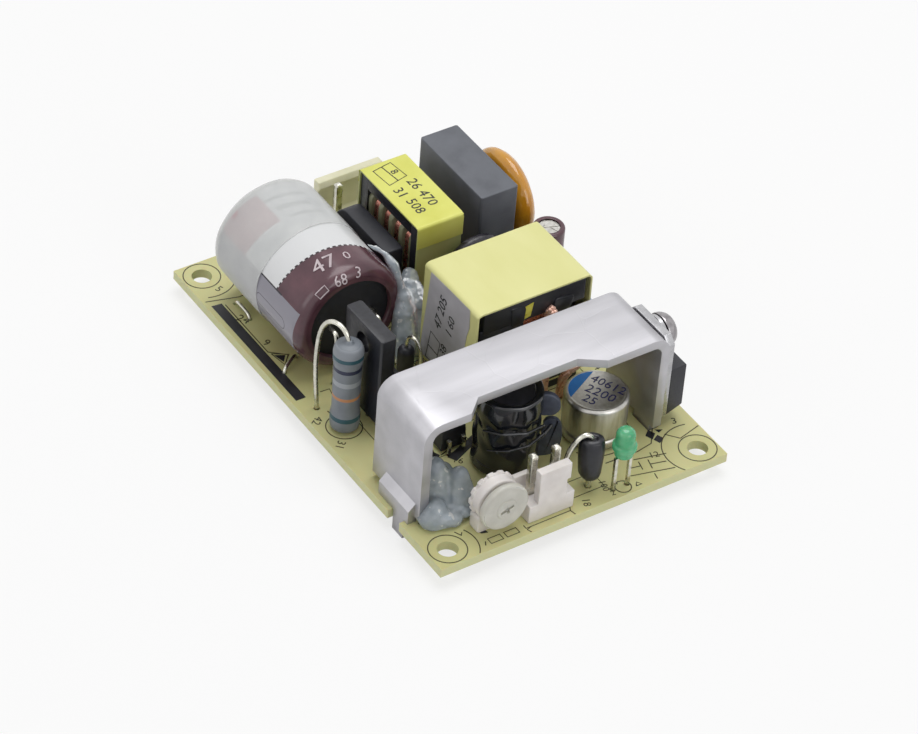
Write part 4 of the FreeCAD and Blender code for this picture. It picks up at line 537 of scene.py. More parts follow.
def paths(runs, kind="POLY", closed=False):
    """A curve with one spline for each list of points in mm."""
    curve = bpy.data.curves.new("paths", "CURVE")
    curve.dimensions = "3D"
    for run in runs:
        spline = curve.splines.new(kind)
        spline.points.add(len(run) - 1)
        for point, spot in zip(spline.points, run):
            point.co = (*(c * MM for c in spot), 1.0)
        spline.use_cyclic_u = closed
        if kind == "NURBS":
            spline.order_u, spline.use_endpoint_u, spline.resolution_u = 4, True, 6
    return curve


# %% Sweep trees
round_sweep, given = new_tree("round_sweep", [("Radius", "Float"), ("Sides", "Int")])
circle = add(round_sweep, "GeometryNodeCurvePrimitiveCircle",
             {"Radius": given["Radius"], "Resolution": given["Sides"]})
swept = add(round_sweep, "GeometryNodeCurveToMesh",
            {"Curve": given["Geometry"], "Profile Curve": circle.outputs[0],
             "Fill Caps": True})
end_tree(round_sweep, swept.outputs[0], given)

flat_sweep, given = new_tree("flat_sweep", [("Width", "Float"), ("Height", "Float")])
level_curve = add(flat_sweep, "GeometryNodeSetCurveNormal",
                  {"Curve": given["Geometry"]}, mode="Z_UP")
bar = add(flat_sweep, "GeometryNodeCurvePrimitiveQuadrilateral",
          {"Width": given["Width"], "Height": given["Height"]})
swept = add(flat_sweep, "GeometryNodeCurveToMesh",
            {"Curve": level_curve.outputs[0], "Profile Curve": bar.outputs[0],
             "Fill Caps": True})
end_tree(flat_sweep, swept.outputs[0], given)


def wires(name, runs, radius, finish="tinned_wire", slot="tinned_wire", stands_for=(),
          sides=14):
    """Round wires through control points in mm, as one piece."""
    mesh = grown(paths(runs, "NURBS"), round_sweep, Radius=radius * MM, Sides=sides,
                 Material=finishes[finish])
    return keep(name, mesh, finish, slot, stands_for, sharp=50)


print("trees", [tree.name for tree in bpy.data.node_groups])

# %% [markdown]
# ## Leads that loop
# The start-up resistor and both diodes stand on end, so their top lead arches over and runs
# down to the board beside them. A real hand-bent arch has no corner, so each is a smooth
# NURBS line, from inside the body, over the top and into its solder joint.

# %% Looped leads
wires("resistor_loop", [
    [(5.25, -21.35, 17.2), (5.2, -21.36, 18.6), (4.5, -21.54, 19.9), (2.9, -21.95, 20.4),
     (1.3, -22.35, 19.8), (0.1, -22.66, 18.2), (-0.65, -22.85, 15.5), (-0.95, -22.92, 11.0),
     (-0.8, -22.89, 7.0), (-0.3, -22.76, 2.6), (-0.25, -22.75, 0.0)],
    [(5.25, -21.35, 0.0), (5.25, -21.35, 1.0), (5.25, -21.35, 2.0), (5.25, -21.35, 2.6)],
], 0.37, stands_for=["startup_resistor_leads"])
wires("clamp_diode_loop", [
    [(-0.4, -7.1, 6.6), (-0.4, -7.1, 7.8), (-0.2, -7.06, 9.3), (1.1, -6.8, 9.9),
     (2.4, -6.5, 8.9), (2.75, -6.43, 6.6), (2.73, -6.43, 3.2), (2.73, -6.43, 0.0)],
    [(-0.4, -7.1, 0.0), (-0.4, -7.1, 0.8), (-0.4, -7.1, 1.8), (-0.4, -7.1, 2.4)],
], 0.29, stands_for=["clamp_diode_leads"])
wires("output_diode_loop", [
    [(33.8, 3.1, 10.0), (33.79, 3.07, 11.1), (33.6, 2.5, 11.9), (33.25, 1.5, 11.9),
     (32.95, 0.65, 10.8), (32.65, -0.2, 9.0), (32.5, -0.6, 7.0), (32.5, -0.6, 0.0)],
    [(33.8, 3.1, 0.0), (33.8, 3.1, 1.2), (33.8, 3.1, 3.0), (33.8, 3.1, 4.1)],
], 0.42, stands_for=["output_diode_leads"])

# %% [markdown]
# ## Straight and kinked leads
# The bulk capacitor lies down, so its two leads leave the bung level and turn down into the
# board. The wire links are staples: up out of one hole, across and down into the next. Both
# are the same sweep as the loops, so all wire on the board has one round section and the
# same finish.

# %% Bulk capacitor leads and wire links
wires("bulk_capacitor_bent_leads", [
    [(-8.3, y, 11.25), (-6.3, y, 11.25), (-4.5, y, 11.3), (-3.65, y, 10.9),
     (-3.7, y, 9.2), (-3.7, y, 4.0), (-3.7, y, 0.0)] for y in (-17.55, -10.05)
], 0.4, stands_for=["bulk_capacitor_leads"])
links = [((-26.8, -21.0), (-22.6, -21.0)), ((-11.7, -19.4), (-9.4, -22.9))]
wires("soldered_links", [
    [(*a, 0.0), (*a, 1.4), (*(p * 0.97 + q * 0.03 for p, q in zip(a, b)), 2.35),
     (*(p * 0.5 + q * 0.5 for p, q in zip(a, b)), 2.3),
     (*(p * 0.03 + q * 0.97 for p, q in zip(a, b)), 2.35), (*b, 1.4), (*b, 0.0)]
    for a, b in links
], 0.3, stands_for=["wire_links"])

# %% [markdown]
# ## Solder joints
# Seen from below, every lead ends in a small bright cone that wets the pad and climbs the
# clipped tip. The places are read from the CAD joints, so none is out of line: a walk along
# the edges parts the node's mesh into its separate solids.

# %% Places of the joints
def lumps(name):
    """The lowest and highest corner, in mm, of each separate solid in a CAD node."""
    shape = bmesh.new()
    shape.from_mesh(nodes[name].data)
    bmesh.ops.remove_doubles(shape, verts=shape.verts, dist=WELD)
    left, found = set(shape.verts), []
    while left:
        grow = [left.pop()]
        corners = []
        while grow:
            vert = grow.pop()
            corners.append(vert.co / MM)
            for edge in vert.link_edges:
                other = edge.other_vert(vert)
                if other in left:
                    left.remove(other)
                    grow.append(other)
        found.append([Vector(map(f, zip(*corners))) for f in (min, max)])
    shape.free()
    return sorted(found, key=lambda pair: tuple(pair[0]))


joints = lumps("solder_joints")
spots = [((low.x + high.x) / 2, (low.y + high.y) / 2) for low, high in joints]

# %% [markdown]
# ## Cones of solder
# A tree puts one turned cone on each place with its own turn and size from a fixed seed, as
# no two joints set alike. Copies by hand would do for one row, but the tree serves the
# copper pads later on as well.

# %% Scatter tree and cones
scatter, given = new_tree("scatter", [("Joint", "Object"), ("Smallest", "Float"),
                                      ("Largest", "Float"), ("Seed", "Int")])
template = add(scatter, "GeometryNodeObjectInfo", {"Object": given["Joint"]})
turn = add(scatter, "FunctionNodeRandomValue",
           {"Min": (0, 0, 0), "Max": (0, 0, 2 * math.pi), "Seed": given["Seed"]},
           data_type="FLOAT_VECTOR")
size = add(scatter, "FunctionNodeRandomValue",
           {2: given["Smallest"], 3: given["Largest"], "Seed": given["Seed"]},
           data_type="FLOAT")
placed = add(scatter, "GeometryNodeInstanceOnPoints",
             {"Points": given["Geometry"], "Instance": template.outputs["Geometry"],
              "Rotation": turn.outputs[0], "Scale": size.outputs[1]})
end_tree(scatter, placed.outputs[0], given)
cone = turned([(0, 0.0), (1.18, 0.0), (1.0, -0.10), (0.74, -0.34), (0.56, -0.78),
               (0.50, -1.25), (0.46, -1.62), (0.30, -1.78), (0, -1.82)], (0, 0, 0), sides=18)


def scattered(shape, smallest, largest, seed, finish):
    """One mesh with the shape on each joint, at a size between two shares of its own."""
    template = scratch_object(shape)
    dots = bpy.data.meshes.new("dots")
    dots.from_pydata([(x * MM, y * MM, 0) for x, y in spots], [], [])
    mesh = grown(dots, scatter, Joint=template, Smallest=smallest, Largest=largest,
                 Seed=seed, Material=finishes[finish])
    bpy.data.objects.remove(template)
    return mesh


keep("soldered_joints", scattered(cone, 0.86, 1.02, 7, "solder"), "solder", "solder",
     ["solder_joints"], sharp=60)
print("trees", [group.name for group in bpy.data.node_groups])

# %% [markdown]
# ## Print
# The board, the tape and the sleeves carry thin ink: outlines, pin marks and plain numbers.
# Each is drawn flat, lines by the level sweep and figures from Blender's own font, as a film
# a few hundredths of a millimetre thick. A rule then lays the film on its surface, flat or
# wrapped, so no ink floats.

# %% Print helper
def figure_mesh(text, height):
    """A figure as a thin flat mesh, this many mm high, with its middle at the origin."""
    letters = bpy.data.curves.new("figure", "FONT")
    letters.body, letters.size = text, height * MM / 0.7
    letters.extrude, letters.resolution_u = 0.015 * MM, 2
    letters.align_x, letters.align_y = "CENTER", "CENTER"
    return evaluated(scratch_object(letters))


def printed(name, finish, lay, lines=(), figures=(), width=0.2, loops=(), slot=None,
            height=0.03):
    """Ink as one piece. lay(x, y, up) gives the place in mm of a point of the flat drawing."""
    sheets = []
    for runs, closed in ((lines, False), (loops, True)):
        if runs:
            flat = [[(*spot, 0.0) for spot in run] for run in runs]
            sheets.append(grown(paths(flat, closed=closed), flat_sweep, Width=width * MM,
                                Height=height * MM, Material=finishes[finish]))
    for text, x, y, size, angle in figures:
        sheet = figure_mesh(text, size)
        turn = Matrix.Rotation(math.radians(angle), 4, "Z")
        sheet.transform(Matrix.Translation((x * MM, y * MM, 0)) @ turn)
        sheets.append(sheet)
    shape = bmesh.new()
    for sheet in sheets:
        shape.from_mesh(sheet)
    for vert in shape.verts:
        x, y, up = vert.co / MM
        vert.co = Vector(lay(x, y, up + height / 2)) * MM
    return keep(name, mesh_of(shape), finish, slot, sharp=20)


def ring(x, y, radius, count=40, first=0, last=360):
    """Points of a circle or an arc in mm, from angle first to angle last."""
    angles = [math.radians(first + (last - first) * i / count) for i in range(count + 1)]
    if last - first == 360:
        angles.pop()
    return [(x + radius * math.cos(a), y + radius * math.sin(a)) for a in angles]


def box_line(x, y, wide, deep):
    """The four corners of a rectangle round (x, y) in mm."""
    return [(x - wide / 2, y - deep / 2), (x + wide / 2, y - deep / 2),
            (x + wide / 2, y + deep / 2), (x - wide / 2, y + deep / 2)]


# %% [markdown]
# ## The board's legend
# Dark brown lines outline each part's place, with a ring round each mounting hole, arcs that
# keep screw heads clear, and plain numbers beside the parts. The lines are lists of points
# in millimetres, because each is where a real part sits and none follows a rule. An image
# would be quicker to draw, but lines stay sharp in a close view and export as a mesh.

# %% Legend on the board
def facing_up(level):
    """The rule that lays a drawing on a flat top face at this height in mm."""
    return lambda x, y, up: (x, y, level + up)


BOARD_TOP = 1.6
on_board = facing_up(BOARD_TOP)
HOLE_X, HOLE_Y = 34.925, 22.225
holes = [(sx * HOLE_X, sy * HOLE_Y) for sx in (-1, 1) for sy in (-1, 1)]
printed(
    "board_legend", "printed_legend", on_board, width=0.17, slot="board_laminate",
    loops=[*(ring(x, y, 2.9) for x, y in holes),
           ring(5.25, -21.35, 2.75), ring(36.45, 7.6, 1.25, 20), ring(-6.0, 21.8, 2.9),
           box_line(-18.3, -2.15, 15.4, 4.3), box_line(-18.25, 4.3, 17.6, 9.2),
           box_line(-20.15, 16.1, 18.2, 7.6), box_line(5.65, 6.25, 15.4, 21.4),
           box_line(-32.4, 15.4, 4.8, 8.8), box_line(14.2, -9.8, 7.4, 6.2),
           box_line(4.65, -16.3, 11.0, 5.4), box_line(36.55, -12.2, 1.1, 2.1),
           box_line(36.55, -15.0, 1.1, 2.1), box_line(-7.4, 10.4, 4.0, 10.6),
           box_line(33.3, 1.2, 3.2, 8.2)],
    lines=[
        ring(34.9, 22.2, 5.4, 24, 165, 305), ring(34.9, -22.2, 4.7, 24, 50, 118),
        ring(-34.9, -22.2, 5.2, 24, -20, 60), ring(24.1, 10.6, 5.6, 40, -60, 190),
        [(-29.3, -24.9), (-27.9, -19.8), (-27.9, -19.0)],
        [(-27.3, -22.55), (-14.7, -22.55), (-12.7, -20.2), (-11.4, -21.3)],
        [(-14.1, -22.3), (-12.7, -20.0), (-11.0, -21.8), (-14.1, -22.3)],
        [(31.0, 8.2), (31.2, 13.8), (30.7, 16.7), (28.0, 18.8)],
        [(32.4, 12.3), (33.6, 17.4)], [(35.1, 9.9), (36.8, 16.8)],
        [(33.1, 12.7), (34.8, 12.3)], [(33.4, 14.2), (35.3, 13.7)],
        [(33.7, 10.9), (34.0, 12.4)], [(34.4, 14.0), (35.0, 16.4)],
        [(30.9, 25.2), (31.9, 21.2), (30.0, 19.6)], [(37.0, -17.0), (36.3, -16.6)],
        [(36.2, -9.9), (36.9, -9.9), (36.9, -2.1), (36.1, -1.7)], [(36.9, -2.1), (37.9, -1.9)],
        [(37.9, -9.6), (37.2, -9.9), (36.9, -9.0)], [(35.6, 7.2), (34.8, 6.8)],
        [(-3.1, -20.4), (-3.0, -18.8), (0.4, -19.6)], [(1.1, -21.7), (2.5, -21.5)],
        [(13.2, -13.9), (16.0, -12.6), (19.5, -13.9)], [(16.4, -8.2), (17.6, -12.2)],
        [(-9.0, -6.4), (-3.0, -6.4), (-3.0, -10.6), (-9.0, -10.6)],
        [(37.3, 9.4), (36.6, 9.9), (37.3, 10.4), (37.3, 9.4)],
    ],
    figures=[("42", 2.2, -24.2, 1.3, -55), ("31", 8.4, -24.0, 1.3, -48),
             ("7", 32.9, -19.2, 1.2, -40), ("1", 37.0, 13.2, 1.2, 78),
             ("12", 33.0, 15.6, 1.2, 75), ("100", 34.9, 5.2, 1.1, -12),
             ("18", 36.6, 0.9, 1.2, -20), ("3", 28.3, 22.6, 1.3, 70),
             ("5", -31.0, -21.5, 1.3, 20), ("24", -23.0, -21.9, 1.5, 30),
             ("9", -16.6, -21.6, 1.4, 30), ("16", 19.8, -10.6, 1.2, 45),
             ("2", 36.9, 5.5, 1.0, 78), ("8", -0.5, -12.2, 1.3, 0),
             ("21", -35.8, 7.8, 1.3, 90), ("4", 12.6, 19.4, 1.3, 0),
             ("11", -13.8, 10.6, 1.3, 0), ("6", 28.4, -22.6, 1.2, 0)])

# %% [markdown]
# ## Solid patches of ink
# A bar beside the big capacitor and a few marks are printed solid. A line sweep can't fill a
# shape, so each patch is an outline with a lower and an upper face and a thin rim. The same
# helper cuts the paper label and the blue segment later on.

# %% Solid patches
def filled(name, outlines, finish, lay=on_board, height=0.03, slot=None):
    """Flat patches of ink or film, each bounded by points in mm, laid by the same rule."""
    shape = bmesh.new()
    for outline in outlines:
        low = [shape.verts.new(Vector(lay(x, y, 0.0)) * MM) for x, y in outline]
        high = [shape.verts.new(Vector(lay(x, y, height)) * MM) for x, y in outline]
        shape.faces.new(low[::-1])
        shape.faces.new(high)
        for i in range(len(low)):
            j = (i + 1) % len(low)
            shape.faces.new((low[i], low[j], high[j], high[i]))
    return keep(name, mesh_of(shape), finish, slot, sharp=20)


filled("black_legend_bars", [
    [(-28.0, -24.6), (-3.1, -24.6), (-3.1, -22.9), (-27.8, -22.9)],
    [(28.9, 16.9), (30.1, 17.4), (29.2, 18.5), (28.0, 18.0)],
    [(30.2, 17.5), (31.3, 17.9), (30.6, 19.0), (29.6, 18.6)],
    [(28.4, 18.9), (29.3, 19.1), (29.0, 20.0)],
    [(33.3, -16.6), (34.6, -16.2), (34.9, -15.2), (33.6, -15.4)],
    [(-13.6, -22.1), (-12.8, -20.6), (-11.6, -21.6)],
    [(15.9, -5.2), (17.5, -5.5), (19.8, -10.8), (18.4, -11.6)],
    [(15.9, -13.0), (17.5, -12.3), (18.1, -13.0), (17.3, -14.1)],
    [(13.3, -6.9), (13.6, -5.2), (14.8, -5.9), (14.9, -6.9)],
], "printed_black", slot="board_laminate")

# %% [markdown]
# ## Copper and mask under the board
# The board is one-sided, so all its tracks are below. Broad tracks run from joint to joint,
# in straight runs and 45 degree bends, under a green mask that leaves the pads bare. Each
# joint is tied to its nearest ones, which gives a believable layout without drawing one. A
# track is the level sweep again, and a pad is a thin ring that the scatter puts on a joint.

# %% Tracks and pads
def track(a, b):
    """A run from a to b in mm: straight, then one 45 degree leg."""
    dx, dy = b[0] - a[0], b[1] - a[1]
    leg = min(abs(dx), abs(dy))
    knee = (b[0] - math.copysign(leg, dx), b[1] - math.copysign(leg, dy))
    return [a, knee, b] if 0.3 < leg and abs(abs(dx) - abs(dy)) > 0.3 else [a, b]


def neighbours(points, reach):
    """Pairs of joints that a track joins: each to its nearest one that is within reach."""
    pairs = set()
    for i, a in enumerate(points):
        near = sorted((math.dist(a, b), j) for j, b in enumerate(points) if j != i)
        pairs.update((min(i, j), max(i, j)) for gap, j in near[:2] if 3.4 < gap < reach)
    return sorted(pairs)


runs = [track(spots[i], spots[j]) for i, j in neighbours(spots, 12.0)]
printed("masked_tracks", "solder_mask", lambda x, y, up: (x, y, -up), lines=runs,
        width=1.5, slot="board_laminate", height=0.07)
pad_ring = turned([(0.42, 0.0), (1.32, 0.0), (1.32, -0.09), (0.42, -0.09)], (0, 0, 0),
                  sides=20, closed=True)
keep("bare_pads", scattered(pad_ring, 0.9, 1.0, 3, "track_copper"), "track_copper",
     "solder")
print("tracks", len(runs), "pads", len(spots))

# %% [markdown]
# ## The bulk capacitor
# It lies on its side: an aluminium can in a brown shrink sleeve whose front edge rolls over
# the crimp, with a rubber bung set back inside. A white panel is printed round the sleeve's
# middle, a grey stripe marks the minus side, and light figures stand on the brown. The
# panels are part of the finish: masks on the angle round the can's axis and the place along
# it, so they follow the rolled edge with no seam. The axis is the X line through (y -13.8,
# z 11.24).

# %% Masks from spans
CAP_Y, CAP_Z, SLEEVE_RADIUS = -13.8, 11.24, 9.33


def window(tree, *spans):
    """A mask that is 1 where each (output, low, high) is inside its span."""
    masks = [add(tree, "ShaderNodeMath",
                 {0: value, 1: (low + high) / 2, 2: (high - low) / 2}, operation="COMPARE")
             for value, low, high in spans]
    product = masks[0].outputs[0]
    for mask in masks[1:]:
        product = add(tree, "ShaderNodeMath", {0: product, 1: mask.outputs[0]},
                      operation="MULTIPLY").outputs[0]
    return product


print("the capacitor's axis in mm", CAP_Y, CAP_Z)

# %% Printed sleeve finish
sleeve = surface("printed_bulk_sleeve", ["#4f353d", "#66454d"], 4.0, (0.15, 0.25), 0.03)
tree = sleeve.node_tree
shader = tree.nodes["Principled BSDF"]
brown = shader.inputs["Base Color"].links[0].from_socket
spot = add(tree, "ShaderNodeSeparateXYZ",
           {"Vector": add(tree, "ShaderNodeMapping",
                          {"Vector": add(tree, "ShaderNodeTexCoord").outputs["Object"],
                           "Location": (0, -CAP_Y, -CAP_Z), "Scale": (1000, 1000, 1000)},
                          ).outputs[0]})
turn = add(tree, "ShaderNodeMath", {0: spot.outputs["Z"], 1: spot.outputs["Y"]},
           operation="ARCTAN2")
turn = add(tree, "ShaderNodeMath", {0: turn.outputs[0]}, operation="DEGREES")
turn = add(tree, "ShaderNodeMath", {0: turn.outputs[0], 1: 360.0}, operation="ADD")
turn = add(tree, "ShaderNodeMath", {0: turn.outputs[0], 1: 360.0}, operation="MODULO").outputs[0]
along = add(tree, "ShaderNodeMath", {0: turn, 1: 0.018, 2: spot.outputs["X"]},
            operation="MULTIPLY_ADD").outputs[0]
wave = add(tree, "ShaderNodeMath", {0: add(tree, "ShaderNodeMath", {0: turn, 1: 1.1},
                                           operation="MULTIPLY").outputs[0]},
           operation="SINE").outputs[0]
side_turn = add(tree, "ShaderNodeMath", {0: turn, 1: 182.0}, operation="SUBTRACT").outputs[0]
side_turn = add(tree, "ShaderNodeMath", {0: side_turn, 1: 0.163},
                operation="MULTIPLY").outputs[0]
past_end = add(tree, "ShaderNodeMath", {0: spot.outputs["X"], 1: 13.6},
               operation="ADD").outputs[0]
past_end = add(tree, "ShaderNodeMath", {0: past_end}, operation="ABSOLUTE").outputs[0]
past_end = add(tree, "ShaderNodeMath", {0: past_end, 1: 3.0}, operation="SUBTRACT").outputs[0]
past_end = add(tree, "ShaderNodeMath", {0: past_end, 1: 0.0}, operation="MAXIMUM").outputs[0]
oval = add(tree, "ShaderNodeVectorMath",
           {0: add(tree, "ShaderNodeCombineXYZ", {"X": past_end, "Y": side_turn}).outputs[0]},
           operation="LENGTH").outputs["Value"]
colour = brown
for mask, tone in (
        (window(tree, (along, -28.0, -10.4), (turn, 40, 157)), "#dfe0e1"),
        (window(tree, (along, -26.6, -19.6), (turn, 109, 157)), "#b47079"),
        (window(tree, (along, -24.9, -24.3), (turn, 66, 108)), "#a9adac"),
        (window(tree, (along, -22.6, -21.6), (turn, 70, 104)), "#a9adac"),
        (window(tree, (along, -20.0, -19.4), (turn, 62, 100)), "#a9adac"),
        (window(tree, (along, -10.65, -10.35), (turn, 41, 157), (wave, -0.3, 1.0)), "#33262c"),
        (window(tree, (along, -26.0, -4.0), (turn, 157, 206)), "#8f8d97"),
        (window(tree, (along, -15.3, -9.0), (turn, 156, 158.5), (wave, -0.5, 1.0)), "#2c2830"),
        (window(tree, (oval, 0.95, 1.12)), "#5f5b68")):
    colour = add(tree, "ShaderNodeMix", {0: mask, 6: colour, 7: linear(tone)},
                 data_type="RGBA").outputs[2]
tree.links.new(colour, shader.inputs["Base Color"])
print("sleeve print masks ready")

# %% [markdown]
# ## Can and sleeve
# The can is deep-drawn, so its profile has a soft shoulder and a bead where the rim is
# turned over the bung. The sleeve's profile runs out over the crimp and back inside, which
# gives the film a real thickness at its open edge. Both are spun, as the real ones are round.

# %% Can and sleeve of the bulk capacitor
axis_x = (0, CAP_Y, CAP_Z)
keep("drawn_bulk_can",
     turned(eased([(0, -29.9), (9.0, -29.9, 0.5), (9.04, -8.7, 0.5), (8.9, -6.8, 0.6),
                   (8.0, -6.25, 0.4), (7.35, -6.4, 0.2), (7.3, -7.7, 0.1), (0, -7.7)]),
            axis_x, "X", 80), "can_aluminium", "can_aluminium", ["bulk_capacitor_can"])
sleeve_line = eased([(8.5, -29.33), (SLEEVE_RADIUS, -29.3, 0.5),
                     (SLEEVE_RADIUS, -5.67, 2.3),
                     (7.15, -5.67, 0.7), (6.95, -6.6, 0.1), (7.2, -6.6)], 6)
inner_line = eased([(7.2, -6.6), (7.5, -6.1, 0.2), (8.9, -6.5, 0.7), (9.1, -8.3, 0.5),
                    (9.1, -29.15, 0.2), (8.5, -29.15)])
keep("rolled_bulk_sleeve",
     turned(sleeve_line + inner_line[1:], axis_x, "X", 96, closed=True,
            wave=lambda a, h: 0.03 * math.sin(3 * a + h) if h > -9 else 0),
     "printed_bulk_sleeve", "brown_shrink_sleeve", ["bulk_capacitor_sleeve"])

# %% [markdown]
# ## Figures on a round sleeve
# The figures are drawn flat and then wrapped: the way across becomes an angle and the way
# back becomes a distance along the sleeve's own profile. So the lower row bends over the
# rolled edge with the film, where a plain projection would stretch it.

# %% Figures on the sleeve
def on_line(line, reach):
    """The (radius, height) and outward direction at this distance along a profile in mm."""
    for a, b in zip(line, line[1:]):
        run = math.dist(a, b)
        if reach <= run or b is line[-1]:
            t = reach / run
            flat = ((b[1] - a[1]) / run, (a[0] - b[0]) / run)
            return (a[0] + (b[0] - a[0]) * t, a[1] + (b[1] - a[1]) * t), flat
        reach -= run


FIGURE_ROW, INK_LIFT = 22.4, 0.07


def on_sleeve(x, y, up):
    """x is the way round the sleeve in mm from its top, y the way back from the row."""
    (radius, height), (out, on) = on_line(sleeve_line, FIGURE_ROW - y)
    reach = radius + out * (up + INK_LIFT)
    angle = math.radians(90) - x / SLEEVE_RADIUS
    return (height + on * (up + INK_LIFT), CAP_Y + reach * math.cos(angle),
            CAP_Z + reach * math.sin(angle))


surface("light_sleeve_ink", ["#b9a9ae", "#d5c9cc"], 1.0, (0.35, 0.45))
printed("sleeve_figures", "light_sleeve_ink", on_sleeve, slot="brown_shrink_sleeve",
        width=0.16,
        figures=[("47", -2.8, 2.1, 2.7, -8), ("0", 1.0, 1.8, 1.7, -8),
                 ("68", -2.3, -1.9, 1.7, -10), ("3", 1.1, -1.8, 1.7, -10)],
        loops=[[(-6.9 + 0.4 * i, -2.0) for i in range(6)]
               + [(-4.9 - 0.4 * i, -1.0) for i in range(6)]])

# %% [markdown]
# ## The insulating cup
# A thin cup of milky film is pushed over the capacitor's back half to insulate it. It is a
# spun shell about a tenth of a millimetre thick with a soft rounded end. Its free lip is a
# little wavy, because film that thin is never truly round. Both walls are modelled, so it
# stays closed and the film's two faces each take a little light.

# %% Insulating cup
def cup_wave(angle, height):
    """How far the film stands off the true round, in mm, growing towards its open lip."""
    slack = max(0.0, (height + 27.0) / 9.5)
    return 0.07 * slack * math.sin(5 * angle + 0.6) + 0.03 * math.sin(9 * angle + height)


cup_outer = eased([(0, -30.38), (9.42, -30.36, 1.1), (9.5, -24, 0.3), (9.5, -17.55)], 5)
cup_inner = eased([(9.4, -17.58), (9.38, -24, 0.3), (9.34, -30.16, 0.9), (0, -30.18)], 5)
keep("film_cup", turned(cup_outer + cup_inner, axis_x, "X", 96, wave=cup_wave),
     "clear_insulating_film", "clear_insulating_film", ["bulk_capacitor_insulating_cup"])

# %% [markdown]
# ## Moulded, sheared and cut parts
# Epoxy packages, nylon headers, the box of the film capacitor and the header pins are plain
# blocks with fine edges, and the heatsink is sheared and folded sheet. Each is an eased copy
# of its CAD node, with an edge width that suits how the part is made: a moulding is rounder
# than a cut pin.

# %% Eased parts
for name, finish, width in (
        ("switching_transistor_body", "black_phenolic", 0.22),
        ("film_capacitor_case", "grey_plastic", 0.3),
        ("inlet_header_housing", "cream_nylon", 0.16),
        ("output_header_housing", "white_nylon", 0.16),
        ("optocoupler_body", "black_epoxy", 0.12),
        ("controller_chip_body", "black_epoxy", 0.10),
        ("output_rectifier_body", "black_epoxy", 0.15),
        ("output_rectifier_tab", "plated_steel", 0.06),
        ("transformer_bobbin", "black_phenolic", 0.12),
        ("transformer_core", "ferrite", 0.12),
        ("fuse_body", "black_coating", 0.3),
        ("heatsink", "heatsink_aluminium", 0.12),
        ("inlet_header_pins", "tinned_wire", 0.12),
        ("output_header_pins", "tinned_wire", 0.12)):
    eased_node(name, finish, width)


# %% [markdown]
# ## Plates, blocks and joined shapes
# Flanges, lugs and the rectifier's slab are small blocks with one or two rounded corners.
# A helper draws the outline once, gives it a thickness along an axis and eases its edges,
# and another joins several meshes into one piece.

# %% Plate helper
def joined(*meshes):
    """The meshes as one mesh."""
    shape = bmesh.new()
    for mesh in meshes:
        shape.from_mesh(mesh)
    return mesh_of(shape)


def slab(outline, low, high, axis="X", edge=0.0, segments=2):
    """A plate: a closed outline in mm, with eased corners, between two places on an axis."""
    count = len(outline)
    line = []
    for i, point in enumerate(outline):
        here = Vector(point[:2])
        if len(point) < 3:
            line.append(here)
            continue
        before = here + (Vector(outline[i - 1][:2]) - here).normalized() * point[2]
        after = here + (Vector(outline[(i + 1) % count][:2]) - here).normalized() * point[2]
        line += [before * (1 - t) ** 2 + here * 2 * t * (1 - t) + after * t ** 2
                 for t in (0, 0.2, 0.4, 0.6, 0.8, 1)]
    order = {"X": (2, 0, 1), "Y": (0, 2, 1), "Z": (0, 1, 2)}[axis]
    shape = bmesh.new()
    sides = []
    for level in (low, high):
        corners = ((a, b, level) for a, b in line)
        sides.append([shape.verts.new([spot[k] * MM for k in order]) for spot in corners])
    shape.faces.new(sides[0])
    shape.faces.new(sides[1])
    for i in range(len(line)):
        j = (i + 1) % len(line)
        shape.faces.new((sides[0][i], sides[0][j], sides[1][j], sides[1][i]))
    mesh = mesh_of(shape)
    return bevelled(mesh, edge, segments) if edge else mesh


def rounded_box(low_a, high_a, low_b, high_b, corner):
    """An outline for a slab: a rectangle with four rounded corners."""
    return [(low_a, low_b, corner), (high_a, low_b, corner),
            (high_a, high_b, corner), (low_a, high_b, corner)]


# %% [markdown]
# ## Bridge rectifier
# The single-in-line rectifier is a black slab standing beside the big capacitor. One top
# corner is clipped to mark the plus lead, and the moulding has soft upper edges. It could be
# an eased copy too, but one outline puts the clip and the round corners in at once.

# %% Bridge rectifier
keep("bridge_rectifier_slab",
     slab([(-26.6, 4.0, 0.3), (-12.3, 4.0, 0.3), (-12.3, 15.2, 0.4), (-24.5, 15.2, 1.2),
           (-26.6, 13.2, 1.2)], -3.75, -0.55, "Y", 0.3, 3),
     "black_epoxy", slot_of["bridge_rectifier_body"], ["bridge_rectifier_body"])

# %% [markdown]
# ## Start-up resistor
# A metal film resistor has a pressed cap at each end, so its lacquered body is thicker
# there. The colour code is painted on as rings, each at its own height, and the lead leaves
# the top cap through a small cone of lacquer. A pale ring over the top cap is painted light,
# the light that falls on it from above. Paint has no thickness to speak of, so the rings are
# masks on the height and not pieces.

# %% Resistor with painted rings
RESISTOR = (5.25, -21.35, 0)
lacquer = surface("banded_lacquer_painted_top_light", ["#6d737b", "#7b8188"], 2.5, (0.32, 0.46), 0.03)
tree = lacquer.node_tree
shader = tree.nodes["Principled BSDF"]
paint = shader.inputs["Base Color"].links[0].from_socket
level = add(tree, "ShaderNodeSeparateXYZ",
            {"Vector": add(tree, "ShaderNodeTexCoord").outputs["Object"]}).outputs["Z"]
# The first ring, pale over the top cap, is painted light from above; the rest are the colour
# code.
for centre, wide, tone in ((16.9, 1.9, "#878c93"), (16.0, 0.7, "#1d4b57"),
                           (13.8, 0.7, "#1d2340"), (11.3, 0.9, "#9ba0a6"),
                           (8.5, 0.55, "#b87f52"), (4.5, 0.8, "#1d4b57")):
    mask = window(tree, (level, (centre - wide / 2) * MM, (centre + wide / 2) * MM))
    paint = add(tree, "ShaderNodeMix", {0: mask, 6: paint, 7: linear(tone)},
                data_type="RGBA").outputs[2]
tree.links.new(paint, shader.inputs["Base Color"])
